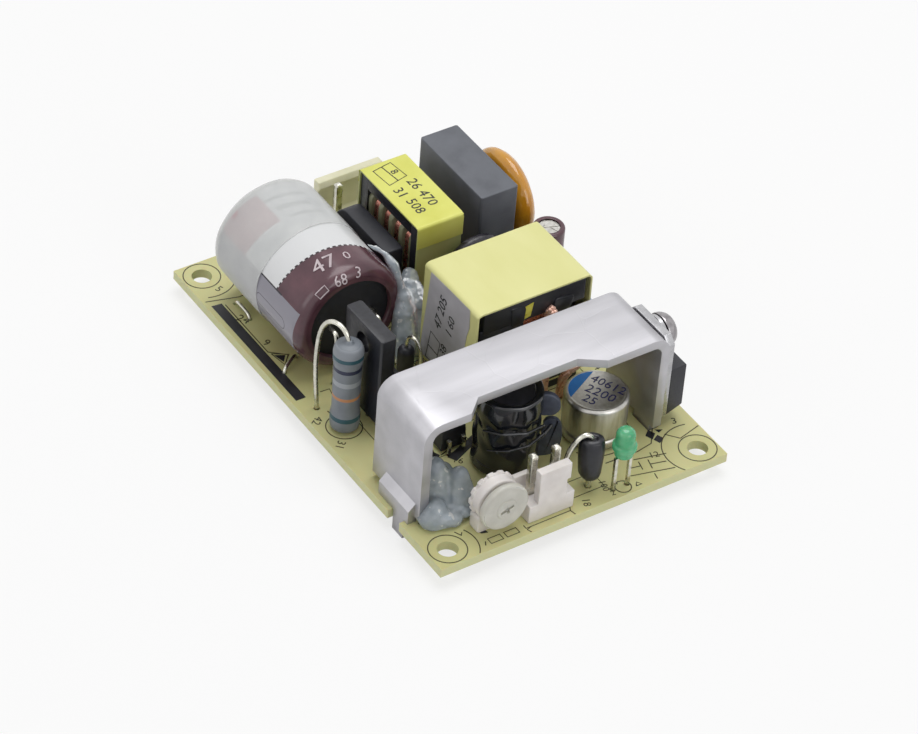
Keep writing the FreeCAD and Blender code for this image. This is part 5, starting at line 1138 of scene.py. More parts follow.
keep("lacquered_resistor",
     turned(eased([(0, 1.95), (2.1, 1.95, 0.5), (2.3, 2.9, 0.5), (2.3, 4.9, 0.5),
                   (2.12, 5.6, 0.4), (2.12, 14.4, 0.4), (2.3, 15.1, 0.5), (2.3, 17.1, 0.6),
                   (1.9, 17.9, 0.5), (0.75, 18.05, 0.2), (0.4, 18.5, 0.1), (0, 18.5)]),
            RESISTOR, sides=56,
            wave=lambda a, h: 0.02 * math.sin(2 * a + 0.4 * h)),
     "banded_lacquer_painted_top_light", slot_of["startup_resistor_body"], ["startup_resistor_body"])

# %% [markdown]
# ## Diodes that stand on end
# Moulded axial diodes: the output one tapers towards the board and is a little uneven, and
# the small clamp diode sits low between the transformer and the transistor. A spun profile
# with a faint wave gives the uneven skin that a plain cylinder would lack.

# %% Diode bodies
keep("moulded_output_diode",
     turned(eased([(0, 3.5), (1.0, 3.5, 0.3), (1.75, 4.3, 0.7), (1.98, 7.2, 1.2),
                   (1.95, 10.0, 0.9), (1.55, 11.1, 0.5), (0.75, 11.2, 0.2), (0.5, 10.95, 0.1),
                   (0, 10.95)]), (33.8, 3.1, 0), sides=44,
            wave=lambda a, h: 0.07 * math.sin(2 * a + 0.5 * h) + 0.03 * math.sin(5 * a)),
     "black_phenolic", slot_of["output_diode_body"], ["output_diode_body"])
keep("moulded_clamp_diode",
     turned(eased([(0, 1.9), (0.8, 1.9, 0.2), (1.3, 2.5, 0.4), (1.3, 6.5, 0.4),
                   (0.8, 7.1, 0.2), (0, 7.1)]), (-0.4, -7.1, 0), sides=36),
     "black_epoxy", slot_of["clamp_diode_body"], ["clamp_diode_body"])

# %% [markdown]
# ## The line choke under its tape
# A frame of two ferrite halves goes round a bobbin that five nylon flanges divide into four
# chambers, so the mains windings stay apart. The frame is four bars joined into one outline
# with a window, so that its edges can be rounded by one bevel.

# %% Ferrite frame of the line choke
def frame_of(outer, inner, low, high, edge):
    """A ferrite frame between two places on Y: an outline with a window through it."""
    bars = [(outer[0], inner[0], outer[2], outer[3]), (inner[1], outer[1], outer[2], outer[3]),
            (inner[0], inner[1], outer[2], inner[2]), (inner[0], inner[1], inner[3], outer[3])]
    shape = bmesh.new()
    for a, b, c, d in bars:
        shape.from_mesh(slab([(a, c), (b, c), (b, d), (a, d)], low, high, "Y"))
    bmesh.ops.remove_doubles(shape, verts=shape.verts, dist=0.001 * MM)
    inside = [f for f in shape.faces if any(
        g is not f and (g.calc_center_median() - f.calc_center_median()).length < 1e-7
        for g in shape.faces)]
    bmesh.ops.delete(shape, geom=inside, context="FACES")
    return bevelled(mesh_of(shape), edge)


keep("choke_ferrite_frame",
     frame_of((-26.3, -10.2, 2.7, 19.7), (-24.4, -12.1, 5.0, 17.4), 0.5, 8.1, 0.15),
     "ferrite", slot_of["line_choke_core"], ["line_choke_core"])

# %% [markdown]
# ## The choke's bobbin
# Five flanges stand at one pitch on a square tube, over two feet that carry the pins. They
# are the same plate five times, so a list of places makes them.

# %% Bobbin of the line choke
CHOKE_MIDDLE, FLANGE_PITCH = -18.25, 2.86
flange_x = [CHOKE_MIDDLE + (i - 2) * FLANGE_PITCH for i in range(5)]
flanges = [slab(rounded_box(0.75, 7.85, 5.6, 16.8, 1.2), x - 0.55, x + 0.55, "X", 0.3)
           for x in flange_x]
bars = [slab([(x, 1.6), (x + 3.4, 1.6), (x + 3.4, 2.4), (x, 2.4)], 0.4, 8.2, "Y", 0.15)
        for x in (-26.45, -13.45)]
core_tube = slab(rounded_box(2.6, 6.0, 8.0, 14.8, 0.4), -24.2, -12.3, "X")
keep("choke_bobbin_flanges", joined(*flanges, *bars, core_tube), "choke_bobbin_nylon",
     slot_of["line_choke_bobbin"], ["line_choke_bobbin"])

# %% [markdown]
# ## The choke's turns
# The wire lies side by side in each chamber. A line that climbs a little with each lap round
# a rounded rectangle is what winding does, and a small random wobble from a fixed seed keeps
# the laps from looking machined. The deeper layers are one plain block behind them.

# %% Turns of the line choke
TURNS_A_CHAMBER = 5


def racetrack(low_a, high_a, low_b, high_b, corner, steps=5):
    """Points round a rectangle with round corners."""
    made = []
    for ca, cb, start in ((high_a - corner, high_b - corner, 0),
                          (low_a + corner, high_b - corner, 90),
                          (low_a + corner, low_b + corner, 180),
                          (high_a - corner, low_b + corner, 270)):
        for k in range(steps + 1):
            angle = math.radians(start + 90 * k / steps)
            made.append((ca + corner * math.cos(angle), cb + corner * math.sin(angle)))
    return made


random.seed(5)
turns = []
loop = racetrack(1.35, 7.25, 6.5, 16.1, 1.3)
for x in flange_x[:-1]:
    first, last = x + 0.74, x + 2.12
    run = []
    for i in range(TURNS_A_CHAMBER):
        wobble = random.uniform(-0.05, 0.05)
        for k, (y, z) in enumerate(loop):
            way = (i + k / len(loop)) / TURNS_A_CHAMBER
            run.append((first + (last - first) * way + wobble * math.sin(k), y, z))
    turns.append(run)
filling = [slab(rounded_box(1.5, 7.1, 6.65, 15.95, 1.2), x + 0.45, x + 2.41, "X")
           for x in flange_x[:-1]]
wound = grown(paths(turns), round_sweep, Radius=0.17 * MM, Sides=8,
              Material=finishes["enamelled_copper"])
keep("choke_turns", joined(wound, *filling), "pink_copper",
     slot_of["line_choke_windings"], ["line_choke_windings"], sharp=60)


# %% [markdown]
# ## Tape bands
# A tape is a thin strip that runs round a path and has width along an axis. The band helper
# offsets the path by the tape's thickness and lets the two free edges wander a little, as
# hand-wound tape never lies quite true. A Solidify modifier could thicken a sheet, but here
# the edges have to move too, so the strip is built ring by ring.

# %% Band helper
def band(path, low, high, wall, axis, closed=True, wander=lambda way: 0.0, rows=1):
    """A strip of tape, wall mm thick outwards, along a path of (a, b) points in mm."""
    count = len(path)
    order = {"X": (2, 0, 1), "Y": (0, 2, 1), "Z": (0, 1, 2)}[axis]
    shape, rings = bmesh.new(), []
    for i, (a, b) in enumerate(path):
        back = Vector(path[i - 1]) if closed or i else Vector(path[0])
        front = Vector(path[(i + 1) % count]) if closed or i < count - 1 else Vector(path[-1])
        along = (front - back).normalized()
        out = Vector((along.y, -along.x)) * wall
        shift = wander(i / count)
        levels = [low + (high - low) * k / rows for k in range(rows + 1)]
        levels[0] += shift
        levels[-1] += shift
        spots = [(a + out.x, b + out.y, level) for level in levels]
        spots += [(a, b, level) for level in reversed(levels)]
        rings.append([shape.verts.new([spot[k] * MM for k in order]) for spot in spots])
    pairs = list(zip(rings, rings[1:] + rings[:1])) if closed else list(zip(rings, rings[1:]))
    for one, two in pairs:
        for k in range(len(one)):
            j = (k + 1) % len(one)
            shape.faces.new((one[k], one[j], two[j], two[k]))
    if not closed:
        shape.faces.new(rings[0])
        shape.faces.new(rings[-1])
    return mesh_of(shape)


# %% [markdown]
# ## Tape on the line choke
# The base layer goes all round. A second, deeper yellow layer starts on the far side, runs
# over the top and ends a few millimetres down the near side, where its cut edge shows. Its
# top carries a plain frame and generic numbers.

# %% Choke tape and its print
around = racetrack(-26.3, -10.2, 2.7, 19.72, 0.5)
keep("choke_base_tape",
     band(around, 0.3, 8.3, 0.24, "Y", wander=lambda way: 0.05 * math.sin(23 * way)),
     "pale_tape", slot_of["line_choke_tape"], ["line_choke_tape"])
over = eased([(-9.93, 16.0), (-9.95, 19.97, 0.5), (-26.6, 19.97, 0.5), (-26.6, 17.6)])
keep("choke_outer_tape",
     band(over, 0.2, 8.45, 0.07, "Y", closed=False, rows=6,
          wander=lambda way: 0.06 * math.sin(31 * way)),
     "doubled_yellow_tape", slot_of["line_choke_tape"])
printed("choke_tape_print", "printed_black", facing_up(20.045), width=0.16,
        slot=slot_of["line_choke_tape"],
        loops=[[(-25.6, 5.2), (-21.7, 5.7), (-20.9, 2.1), (-25.0, 1.7)]],
        lines=[[(-25.3, 3.4), (-21.3, 3.9)]],
        figures=[("8", -23.4, 4.5, 1.3, 5), ("26 470", -17.2, 5.6, 1.75, 0),
                 ("31", -18.6, 2.6, 1.7, 3), ("508", -14.8, 2.9, 1.7, 0)])

# %% [markdown]
# ## Shapes that melted into one another
# Dipped epoxy, glue and silicone have no edges: surface tension rounds them and fills every
# corner. Balls and turned discs are laid over each other, a voxel remesh joins them into
# one skin and a smoothing pass melts the seams.

# %% Melting helper
def strand(points, step=0.35):
    """Balls (x, y, z, radius) in mm, close together, along a line through the points."""
    made = []
    for one, two in zip(points, points[1:]):
        one, two = Vector(one), Vector(two)
        count = max(2, int((two - one).to_3d().length / step))
        made += [tuple(one.lerp(two, k / count)) for k in range(count)]
    return made + [tuple(points[-1])]


def melted(balls, meshes=(), voxel=0.3, rounds=5):
    """The balls and meshes as one smooth skin."""
    shape = bmesh.new()
    for x, y, z, radius in balls:
        bmesh.ops.create_icosphere(shape, subdivisions=2, radius=radius * MM,
                                   matrix=Matrix.Translation((x * MM, y * MM, z * MM)))
    for mesh in meshes:
        shape.from_mesh(mesh)
    working = scratch_object(mesh_of(shape))
    skin = working.modifiers.new("skin", "REMESH")
    skin.mode, skin.voxel_size = "VOXEL", voxel * MM
    relax = working.modifiers.new("relax", "SMOOTH")
    relax.factor, relax.iterations = 0.6, rounds
    return evaluated(working)


# %% [markdown]
# ## Dipped discs
# Varistor, safety capacitor and thermistor are discs dipped in epoxy. The coat is thicker
# round the rim than a cut disc would be, and it runs a little way down both leads. One
# helper makes all three, because only their sizes and the lead pitch differ.

# %% Dipped discs
def dipped(name, node, finish, centre, radius, thick, along, pitch, foot, voxel=0.28):
    """A dipped disc with its coat drawn down over two leads that are pitch mm apart."""
    half = thick / 2
    lens = eased([(0, -half), (radius * 0.72, -half, radius * 0.2),
                  (radius, -half * 0.5, half * 0.7), (radius, half * 0.5, half * 0.7),
                  (radius * 0.72, half, radius * 0.2), (0, half)], 5)
    disc = turned(lens, centre, along, 64)
    x, y, z = centre
    runs = []
    for side in (-1, 1):
        a, b = (x + side * pitch / 2, y) if along == "Y" else (x, y + side * pitch / 2)
        runs += strand([(a, b, z - radius * 0.55, half * 0.75), (a, b, z - radius, half * 0.6),
                        (a, b, foot, 0.55)])
    keep(name, melted(runs, [disc], voxel, 3), finish, slot_of[node], [node], sharp=80)


dipped("dipped_varistor", "varistor_disc", "orange_epoxy", (-18.7, 22.0, 12.1), 7.75, 3.9,
       "Y", 7.5, 3.3)
dipped("dipped_safety_capacitor", "safety_capacitor_disc", "blue_epoxy", (4.1, 20.6, 6.9),
       4.2, 3.0, "Y", 7.5, 2.4, 0.22)
dipped("dipped_thermistor", "inrush_thermistor_disc", "black_coating", (-8.2, 10.2, 10.4),
       5.6, 3.0, "X", 5.0, 3.7, 0.24)

# %% [markdown]
# ## Auxiliary supply capacitor
# A small radial can in a brown sleeve. The sleeve's top edge shrinks in over the rim, and
# the flat top is scored so that it can vent. The scores are real cuts, made one bar at a
# time, because cutters that overlap can empty the mesh.

# %% Auxiliary capacitor
def cut(mesh, *cutters):
    """The mesh with each cutter's volume taken away in turn."""
    for cutter in cutters:
        working, knife = scratch_object(mesh), scratch_object(cutter)
        taken = working.modifiers.new("cut", "BOOLEAN")
        taken.operation, taken.solver, taken.object = "DIFFERENCE", "EXACT", knife
        mesh = evaluated(working)
        bpy.data.objects.remove(knife)
    return mesh


def bar(length, width, low, high, angle, centre, axis="Z"):
    """A straight bar between two levels on an axis, turned by angle round it."""
    mesh = slab([(-length / 2, -width / 2), (length / 2, -width / 2),
                 (length / 2, width / 2), (-length / 2, width / 2)], low, high, axis)
    turn = Matrix.Rotation(math.radians(angle), 4, axis)
    mesh.transform(Matrix.Translation([c * MM for c in centre]) @ turn)
    return mesh


aux = (-6.0, 21.8, 0)
scored = turned(eased([(0, 2.6), (2.3, 2.6, 0.3), (2.34, 14.98, 0.3), (2.0, 15.0, 0.1),
                       (1.95, 14.85, 0.05), (0, 14.85)]), aux, sides=48)
scores = (bar(3.2, 0.14, 14.7, 15.2, 70, aux), bar(1.5, 0.14, 14.7, 15.2, 20, (-5.1, 22.2, 0)),
          bar(1.5, 0.14, 14.7, 15.2, 120, (-6.4, 20.9, 0)))
keep("scored_auxiliary_can", cut(scored, *scores), "can_aluminium",
     slot_of["auxiliary_capacitor_can"], ["auxiliary_capacitor_can"])
keep("shrunk_auxiliary_sleeve",
     turned(eased([(2.4, 2.2), (2.53, 2.3, 0.1), (2.55, 14.9, 0.2), (2.3, 15.18, 0.2),
                   (1.75, 15.12, 0.1), (1.75, 15.02, 0.05), (2.37, 15.0, 0.1)]),
            aux, sides=56, closed=True),
     "brown_shrink_sleeve", slot_of["auxiliary_capacitor_sleeve"],
     ["auxiliary_capacitor_sleeve"])

# %% [markdown]
# ## The taped transformer
# Yellow tape is wound round core and bobbin, with its open side towards the heatsink. There
# the black flange shows, with a scrap of tape and the winding's copper strands, and a lower
# wrap closes the window's foot. The wrap round the core is the same band as on the choke,
# and the pieces in the window are small plates.

# %% Transformer tape and wrap
around = racetrack(-3.7, 16.2, 3.3, 21.22, 0.6)
keep("transformer_wound_tape",
     band(around, -1.5, 12.8, 0.27, "X", wander=lambda way: 0.05 * math.sin(27 * way)),
     "yellow_tape", slot_of["transformer_tape"], ["transformer_tape"])
keep("transformer_lower_wrap",
     slab([(-3.4, 3.4), (16.0, 3.4), (16.15, 16.6, 1.0), (14.3, 15.6, 1.0), (9.0, 15.3, 2.0),
           (-3.4, 15.0)], 12.45, 12.7, "X", 0.06),
     "yellow_tape", slot_of["transformer_tape"])
keep("transformer_flange_ridges",
     joined(slab([(-3.35, 15.1), (4.5, 15.1), (4.5, 18.0, 0.5), (-3.35, 18.0)],
                 12.3, 12.7, "X", 0.1),
            slab([(2.2, 16.8, 0.4), (4.4, 17.0, 0.5), (4.7, 20.3, 1.0), (1.8, 20.6, 0.6)],
                 12.3, 13.0, "X", 0.25),
            slab([(9.4, 16.9, 0.4), (12.6, 16.6, 0.6), (13.4, 18.9, 0.8), (9.8, 19.5, 0.8)],
                 12.3, 13.1, "X", 0.25)),
     "black_phenolic", slot_of["transformer_bobbin"])
keep("loose_tape_scrap",
     slab([(4.2, 17.6), (5.5, 17.9), (5.9, 20.3), (4.5, 20.0)], 12.75, 12.9, "X"),
     "tape_scrap", slot_of["transformer_tape"])

# %% [markdown]
# ## The transformer's label
# A paper label with one uneven edge is stuck on the front side and carries generic numbers.
# It is a solid patch five hundredths of a millimetre thick that bends slightly with the
# tape, so it catches the light as paper does.

# %% Transformer label
filled("transformer_label", [
    [(-1.25, 4.3), (-0.9, 9.0), (-0.3, 15.0), (0.25, 20.9), (5.5, 21.1), (10.7, 21.2),
     (10.95, 17.9), (10.4, 16.0), (10.1, 14.0), (10.5, 9.0), (10.4, 4.3)]],
    "label_paper", lay=lambda x, z, up: (x + 0.04 * math.sin(z), -4.0 - up, z),
    height=0.05, slot=slot_of["transformer_tape"])
printed("transformer_figures", "printed_black",
        lambda x, z, up: (x, -4.05 - up, z), width=0.16,
        slot=slot_of["transformer_tape"],
        figures=[("47 205", 3.5, 15.4, 1.75, 79), ("1 60", 6.2, 14.6, 1.6, 80),
                 ("38", 4.9, 9.0, 1.5, 80)],
        loops=[[(0.4, 4.6), (3.1, 4.6), (3.9, 9.6), (1.3, 10.2)]],
        lines=[[(0.9, 7.2), (3.5, 7.0)]])

# %% [markdown]
# ## Flying leads
# The low-voltage winding carries much current, so it leaves as two bundles of copper
# strands that are twisted together and soldered straight into the board. A path is softened
# first and the strands then wind round it, as real ones are twisted and bent afterwards.

# %% Twisted strands
def twisted(path, strands, reach, turns, points=40):
    """Control points of strands that wind round a path of points in mm."""
    spine = [Vector(p) for p in path]
    made = [[] for _ in range(strands)]
    for i in range(points + 1):
        way = i / points * (len(spine) - 1)
        k = min(int(way), len(spine) - 2)
        here = spine[k].lerp(spine[k + 1], way - k)
        along = (spine[k + 1] - spine[k]).normalized()
        side = along.orthogonal().normalized()
        other = along.cross(side)
        for j, run in enumerate(made):
            angle = 2 * math.pi * (j / strands + turns * i / points)
            run.append(here + (side * math.cos(angle) + other * math.sin(angle)) * reach)
    return made


def softened(path, steps=5):
    """Points along a smooth line that follows the corners of the path."""
    made = [Vector(path[0])]
    for a, b, c in zip(path, path[1:], path[2:]):
        a, b, c = Vector(a), Vector(b), Vector(c)
        start, end = (a + b) / 2, (b + c) / 2
        made += [start * (1 - t) ** 2 + b * 2 * t * (1 - t) + end * t ** 2
                 for t in (k / steps for k in range(steps))]
    return made + [Vector(path[-1])]


bundles = [
    [(11.8, 13.6, 7.6), (13.4, 15.2, 8.0), (15.1, 15.4, 8.0), (15.7, 13.8, 7.6),
     (15.7, 11.9, 7.0), (15.4, 10.8, 5.6), (15.0, 10.8, 3.0), (15.0, 10.8, 0.0)],
    [(12.2, 8.9, 16.4), (13.2, 9.0, 18.4), (14.1, 9.2, 17.0), (14.7, 8.4, 12.5),
     (15.2, 7.4, 8.0), (15.2, 7.5, 4.0), (15.0, 7.6, 2.4), (15.0, 7.6, 0.0)]]
strands = [run for path in bundles for run in twisted(softened(path), 5, 0.42, 0.8)]
wires("copper_flying_leads", strands, 0.30, "copper_strand",
      slot_of["transformer_flying_leads"], ["transformer_flying_leads"], sides=10)

# %% [markdown]
# ## The output choke in its shrink tube
# A drum core stands in shiny black tube. Heated by hand, the tube has pinched in round the
# middle, pleated, and kept a flattened fold along one side, which sticks out as a fin. A
# cloth simulation could crumple it, but sums of waves give the same pleats every time and
# put the pinch where it is.

# %% Shrink tube with its fold
def crumple(angle, height):
    """Pleats in mm: broad ones all round, finer where the tube is pinched."""
    pinch = math.exp(-((height - 8.0) / 1.6) ** 2) + math.exp(-((height - 11.4) / 1.2) ** 2)
    return (0.07 * math.sin(3 * angle + 0.5 * height) + 0.04 * math.sin(7 * angle - height)
            + pinch * (0.10 * math.sin(9 * angle + 1.3 * height) - 0.14))


drum = (22.9, -4.5, 0)
heights = [2.35 + 13.2 * k / 44 for k in range(45)]
outside = [(5.0 + 0.1 * math.sin(h * 1.1), h) for h in heights]
lip = eased([(5.05, 15.55), (5.0, 15.9, 0.3), (4.2, 15.93, 0.4), (3.7, 15.6)])
inside = [(3.7, 15.45), (4.55, 15.3), (4.7, 14.6), (4.72, 2.6), (4.8, 2.3)]
tube = turned(outside + lip + inside, drum, sides=120, closed=True, wave=crumple)
keep("crumpled_choke_tube", tube, "black_shrink_tube", slot_of["output_choke_tube"],
     ["output_choke_tube"], sharp=80)

# %% [markdown]
# ## Folds and creases of the tube
# The flattened folds are thin plates with soft edges, turned to face the output end. The
# creases are thin melted ridges that run from the front round to the folds, where the tube
# doubled up as it shrank.

# %% Folds and creases
fins = []
for outline, low, high in (
        ([(4.4, 2.9), (6.6, 3.2, 0.8), (7.9, 4.6, 0.8), (8.2, 7.4, 0.6), (7.9, 9.4, 0.8),
          (6.9, 10.5, 0.7), (5.6, 10.2, 0.4), (5.2, 9.3, 0.2), (5.4, 8.5, 0.2),
          (5.0, 7.6, 0.2), (5.3, 6.6, 0.2), (4.4, 5.8, 0.2)], -0.35, 0.35),
        ([(4.2, 10.9), (6.6, 11.0, 0.5), (7.7, 12.2, 0.9), (7.3, 14.2, 0.9),
          (6.0, 15.2, 0.7), (4.2, 15.1)], -0.5, 0.5)):
    fin = slab(outline, low, high, "Y", 0.25, 3)
    fin.transform(Matrix.Translation([c * MM for c in drum])
                  @ Matrix.Rotation(math.radians(57), 4, "Z"))
    fins.append(fin)
keep("choke_tube_fold", joined(*fins), "slate_shrink_tube", slot_of["output_choke_tube"])
keep("choke_tube_creases",
     melted(strand([(24.7, -10.1, 11.2, 0.22), (27.2, -8.2, 11.5, 0.30),
                    (28.5, -5.0, 11.3, 0.30), (27.9, -1.6, 11.0, 0.28)], 0.25)
            + strand([(25.4, -9.6, 7.6, 0.2), (27.6, -7.4, 8.2, 0.28),
                      (28.4, -4.4, 8.6, 0.28), (27.6, -1.2, 8.9, 0.34),
                      (26.6, 0.9, 9.2, 0.3)], 0.25), voxel=0.14, rounds=3),
     "black_shrink_tube", slot_of["output_choke_tube"], sharp=80)

# %% [markdown]
# ## Output capacitor
# A solid-polymer capacitor has a bare, low aluminium can with a groove crimped round its
# foot. Its flat top is printed: a blue segment for the minus side and rows of figures. The
# can is one spun profile, and the print is thin film laid on the top face.

# %% Output capacitor can and its print
can = (24.1, 10.6, 0)
keep("crimped_output_can",
     turned(eased([(0, 2.2), (4.3, 2.2, 0.2), (4.75, 1.95, 0.2), (4.93, 2.3, 0.2),
                   (4.93, 3.3, 0.3), (4.6, 3.65, 0.3), (4.93, 4.0, 0.3), (4.95, 9.2, 0.2),
                   (4.55, 9.68, 0.3), (4.2, 9.60, 0.15), (0, 9.60)]), can, sides=88),
     "can_aluminium", slot_of["output_capacitor_can"], ["output_capacitor_can"])
on_can = facing_up(9.605)
filled("output_can_segment", [ring(can[0], can[1], 4.3, 26, 153, 261)], "blue_ink",
       lay=on_can, height=0.02, slot=slot_of["output_capacitor_can"])
printed("output_can_figures", "violet_ink", on_can, height=0.02,
        slot=slot_of["output_capacitor_can"],
        figures=[("40612", 23.9, 12.8, 1.65, 26), ("2200", 24.9, 10.7, 1.75, 26),
                 ("25", 25.3, 8.5, 1.6, 26)])

# %% [markdown]
# ## Power lamp
# A small green lamp stands off the board on its leads. Its lens is cast: a dome, a flange
# part way down and a short skirt. A profile with a large eased corner makes the dome, and
# the finish lets light in, so it looks filled and not painted.

# %% Lamp lens
keep("cast_lamp_lens",
     turned(eased([(0, 7.85), (1.1, 7.8, 0.3), (1.45, 8.1, 0.2), (1.55, 9.2, 0.1),
                   (1.88, 9.35, 0.15), (1.88, 10.1, 0.2), (1.52, 10.35, 0.1),
                   (1.48, 13.1, 1.45), (0, 13.1)], 8), (36.2, 7.2, 0), sides=48),
     "green_lens", slot_of["power_lamp_lens"], ["power_lamp_lens"])

# %% [markdown]
# ## Screw and split washer
# The rectifier's tab is held by a pan-head screw with a cross recess, over a split spring
# washer. The recess is cut out of a turned head, and the washer is a ring with a gap whose
# two ends stand a little apart. A full turned ring would hide that gap, so its sections are
# placed one after another along a shallow helix.

# %% Screw and washer
screw = (23.3, 0, 16.1)
head = turned(eased([(0, 17.0), (1.4, 17.0, 0.3), (1.47, 21.7), (2.8, 21.72, 0.15),
                     (2.8, 22.5, 0.5), (2.1, 23.8, 0.9), (0, 23.8)], 6), screw, "Y", 60)
recess = (bar(3.2, 0.7, 22.7, 24.2, 25, screw, "Y"),
          bar(3.2, 0.7, 22.72, 24.25, 115, screw, "Y"))
keep("cross_recess_screw", cut(head, *recess), "nickel_plate", slot_of["rectifier_screw"],
     ["rectifier_screw"])
shape, rings = bmesh.new(), []
for i in range(49):
    angle = math.radians(12 + 344 * i / 48)
    lift = 20.93 + 0.2 * i / 48
    rings.append([shape.verts.new(((screw[0] + r * math.cos(angle)) * MM, y * MM,
                                   (screw[2] + r * math.sin(angle)) * MM))
                  for r, y in ((1.65, lift), (2.68, lift), (2.68, lift + 0.55),
                               (1.65, lift + 0.55))])
for one, two in zip(rings, rings[1:]):
    for k in range(4):
        shape.faces.new((one[k], one[(k + 1) % 4], two[(k + 1) % 4], two[k]))
shape.faces.new(rings[0])
shape.faces.new(rings[-1])
keep("split_spring_washer", mesh_of(shape), "plated_steel",
     slot_of["rectifier_spring_washer"], ["rectifier_spring_washer"])

# %% [markdown]
# ## The trimmer
# Its body is a white nylon cup with a notched rear rim, on a small foot. The rotor is the one
# part made to move: a cloudy plastic disc on a short shaft, with a shallow cross for the
# screwdriver. It rides on the trimmer's own body, so it turns in the poses. Both are spun
# profiles, because a lathe shape follows a rule, and the cross is cut into the disc.

# %% Trimmer body and rotor
TRIMMER_AXIS, NOTCHES = (0, -13.45, 6.75), 13


def notches(angle, height):
    """How far the rear rim is cut back, in mm, at this angle and place along X in mm."""
    return -0.3 if height < 32.9 and math.cos(NOTCHES * angle) > 0.55 else 0.0


cup = turned(eased([(0, 32.1), (3.6, 32.12, 0.1), (3.85, 32.25), (3.85, 32.85, 0.05),
                    (3.6, 32.95, 0.1), (3.65, 34.3, 0.25), (3.4, 34.58, 0.2),
                    (1.85, 34.58, 0.1), (1.85, 32.95), (0, 32.95)]),
             TRIMMER_AXIS, "X", 104, wave=notches)
foot = slab(rounded_box(-16.8, -10.1, 1.6, 4.6, 0.5), 32.2, 34.4, "X", 0.2)
keep("trimmer_cup", joined(cup, foot), "white_nylon", slot_of["trimmer_body"],
     ["trimmer_body"])
disc = turned(eased([(0, 33.05), (1.6, 33.05, 0.15), (1.65, 35.1), (3.7, 35.12, 0.2),
                     (3.98, 35.4, 0.2), (3.98, 36.2, 0.35), (3.6, 36.5, 0.3),
                     (1.75, 36.52, 0.1), (1.65, 36.72, 0.1), (0, 36.72)]),
              TRIMMER_AXIS, "X", 72)
recess = (bar(2.3, 0.5, 36.3, 37.0, 20, TRIMMER_AXIS, "X"),
          bar(1.5, 0.5, 36.32, 37.05, 110, TRIMMER_AXIS, "X"))
keep("cross_slot_rotor", cut(disc, *recess), "milky_plastic", slot_of["trimmer_rotor"],
     ["trimmer_rotor"], body="trimmer")

# %% [markdown]
# ## Silicone and glue
# Clear silicone is run between the big capacitor, the rectifier, the choke and the
# transformer so that nothing shakes, with a thread pulled over the capacitor's shoulder. A
# second lump holds the heatsink's left leg. Both are strings of balls melted into one skin,
# which a noise then swells a little, because glue from a nozzle sets in uneven beads.

# %% Silicone
core_lump = strand([(-9.4, -1.0, 12.0, 1.2), (-7.6, -2.2, 11.4, 1.9), (-5.6, -2.4, 9.4, 2.6),
                    (-4.4, -2.8, 6.4, 2.9), (-4.0, -3.0, 4.0, 2.8)], 0.8)
core_lump += strand([(-5.4, -4.8, 12.0, 1.2), (-4.2, -5.2, 9.8, 1.8), (-3.4, -5.6, 7.0, 2.2),
                     (-2.8, -6.2, 4.2, 2.3)], 0.7)
core_lump += strand([(-11.9, -5.9, 17.7, 0.3), (-10.2, -5.2, 17.0, 0.6),
                     (-8.4, -4.9, 16.2, 0.75), (-7.0, -4.9, 14.8, 0.75),
                     (-6.1, -4.7, 13.0, 0.9), (-5.6, -4.3, 11.0, 1.3)], 0.35)
core_lump += strand([(-12.6, -7.0, 18.1, 0.25), (-10.8, -5.6, 17.2, 0.4),
                     (-10.0, -5.0, 16.4, 0.4)], 0.3)
leg_lump = strand([(25.2, -18.6, 8.2, 1.7), (26.0, -18.8, 5.6, 2.6),
                   (26.6, -19.2, 3.6, 2.9)], 0.8)
leg_lump += strand([(27.6, -16.0, 7.2, 1.6), (28.6, -16.2, 4.8, 2.3),
                    (29.0, -17.0, 3.2, 2.4)], 0.8)
leg_lump += strand([(24.6, -16.6, 6.0, 1.5), (26.4, -15.2, 4.0, 1.8),
                    (28.6, -14.9, 3.4, 1.7), (30.0, -16.4, 3.0, 1.6)], 0.8)
leg_lump += strand([(29.4, -20.8, 4.8, 1.5), (29.4, -21.6, 3.0, 2.1),
                    (30.4, -18.6, 2.6, 1.7)], 0.8)
skins = [melted(lump, voxel=0.24) for lump in (core_lump, leg_lump)]
for skin in skins:
    for vert in skin.vertices:
        spot = vert.co / MM
        swell = 0.22 * noise.noise(spot * 0.45) + 0.06 * noise.noise(spot * 1.7)
        vert.co += vert.normal * swell * MM
        vert.co.z = max(vert.co.z, (BOARD_TOP + 0.02) * MM)
keep("silicone_lumps", joined(*skins), "clear_silicone", slot_of["silicone_beads"],
     ["silicone_beads"], sharp=80)
print("all pieces made")

# %% [markdown]
# ## Floor
# The object stands in a white studio, on a pale floor that keeps a soft shadow. To the
# camera the floor shines partly by itself, so it renders near white without more lamps. From
# below it is clear, so that the solder side can be looked at.

# %% Floor
floor_mesh = bpy.data.meshes.new("floor")
side = 3.0
floor_mesh.from_pydata([(-side, -side, -2.05 * MM), (side, -side, -2.05 * MM),
                        (side, side, -2.05 * MM), (-side, side, -2.05 * MM)],
                       [], [(0, 1, 2, 3)])
floor = bpy.data.objects.new("floor", floor_mesh)
bpy.context.scene.collection.objects.link(floor)
floor_finish = bpy.data.materials.new("pale_floor")
floor_finish.use_nodes = True
tree = floor_finish.node_tree
tree.nodes.clear()
matt = add(tree, "ShaderNodeBsdfDiffuse", {"Color": linear("#f4f4f4")})
bright = add(tree, "ShaderNodeEmission", {"Color": (1, 1, 1, 1), "Strength": 1.0})
clear = add(tree, "ShaderNodeBsdfTransparent")
rays = add(tree, "ShaderNodeLightPath")
seen = add(tree, "ShaderNodeMath", {0: rays.outputs["Is Camera Ray"], 1: 0.72},
           operation="MULTIPLY")
lit = add(tree, "ShaderNodeMixShader", {0: seen.outputs[0], 1: matt.outputs[0],
                                        2: bright.outputs[0]})
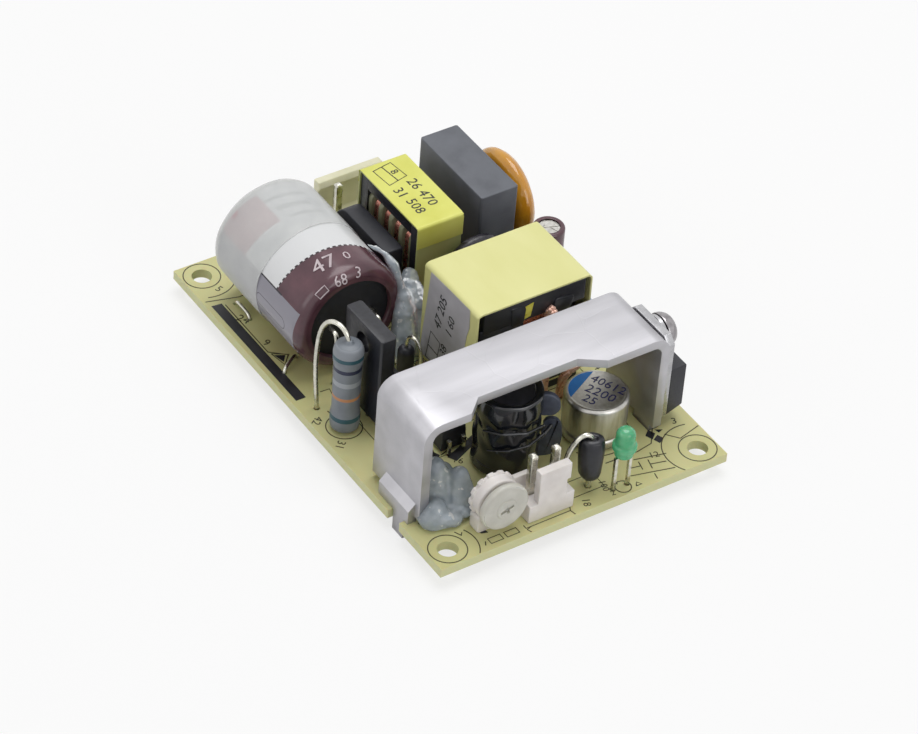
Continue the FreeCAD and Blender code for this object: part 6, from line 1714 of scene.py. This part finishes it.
under = add(tree, "ShaderNodeMixShader",
            {0: add(tree, "ShaderNodeNewGeometry").outputs["Backfacing"],
             1: lit.outputs[0], 2: clear.outputs[0]})
add(tree, "ShaderNodeOutputMaterial", {"Surface": under.outputs[0]})
floor_mesh.materials.append(floor_finish)
print("floor", round(2 * side, 1), "m wide")

# %% [markdown]
# ## Lamps
# Three square soft boxes light the part: a strong one overhead for the top faces and weaker
# ones at the right and left, so that upright faces keep some light and shadows stay pale.

# %% Lamps
def soft_box(name, place, size, watts):
    """A square area lamp of this size in metres that looks at the object."""
    lamp = bpy.data.lights.new(name, "AREA")
    lamp.shape, lamp.size, lamp.energy = "SQUARE", size, watts
    made = bpy.data.objects.new(name, lamp)
    bpy.context.scene.collection.objects.link(made)
    made.location = place
    made.rotation_euler = (aim - Vector(place)).to_track_quat("-Z", "Y").to_euler()
    return made


soft_box("overhead_soft_box", (-0.10, 0.10, 0.62), 0.42, 2.1)
soft_box("right_soft_box", (0.62, 0.10, 0.30), 0.35, 0.8)
soft_box("left_soft_box", (-0.05, -0.62, 0.32), 0.35, 0.5)

# %% [markdown]
# ## World
# The world is white to the camera, in mirrors and through clear parts, as a studio is. It
# gives less light to the object itself, so the soft boxes still draw their shadows and a
# colour renders about as it is written.

# %% World
world = bpy.data.worlds.new("white_studio")
bpy.context.scene.world = world
world.use_nodes = True
tree = world.node_tree
tree.nodes.clear()
rays = add(tree, "ShaderNodeLightPath")
seen = add(tree, "ShaderNodeMath", {0: rays.outputs["Is Camera Ray"],
                                    1: rays.outputs["Is Glossy Ray"]}, operation="MAXIMUM")
seen = add(tree, "ShaderNodeMath", {0: seen.outputs[0],
                                    1: rays.outputs["Is Transmission Ray"]}, operation="MAXIMUM")
strength = add(tree, "ShaderNodeMapRange",
               {"Value": seen.outputs[0], "To Min": 0.42, "To Max": 1.0})
shine = add(tree, "ShaderNodeBackground", {"Strength": strength.outputs[0]})
shine.inputs["Color"].default_value = (1, 1, 1, 1)
add(tree, "ShaderNodeOutputWorld", {"Surface": shine.outputs[0]})
bpy.context.scene.view_settings.view_transform = "Standard"
print("stage set")
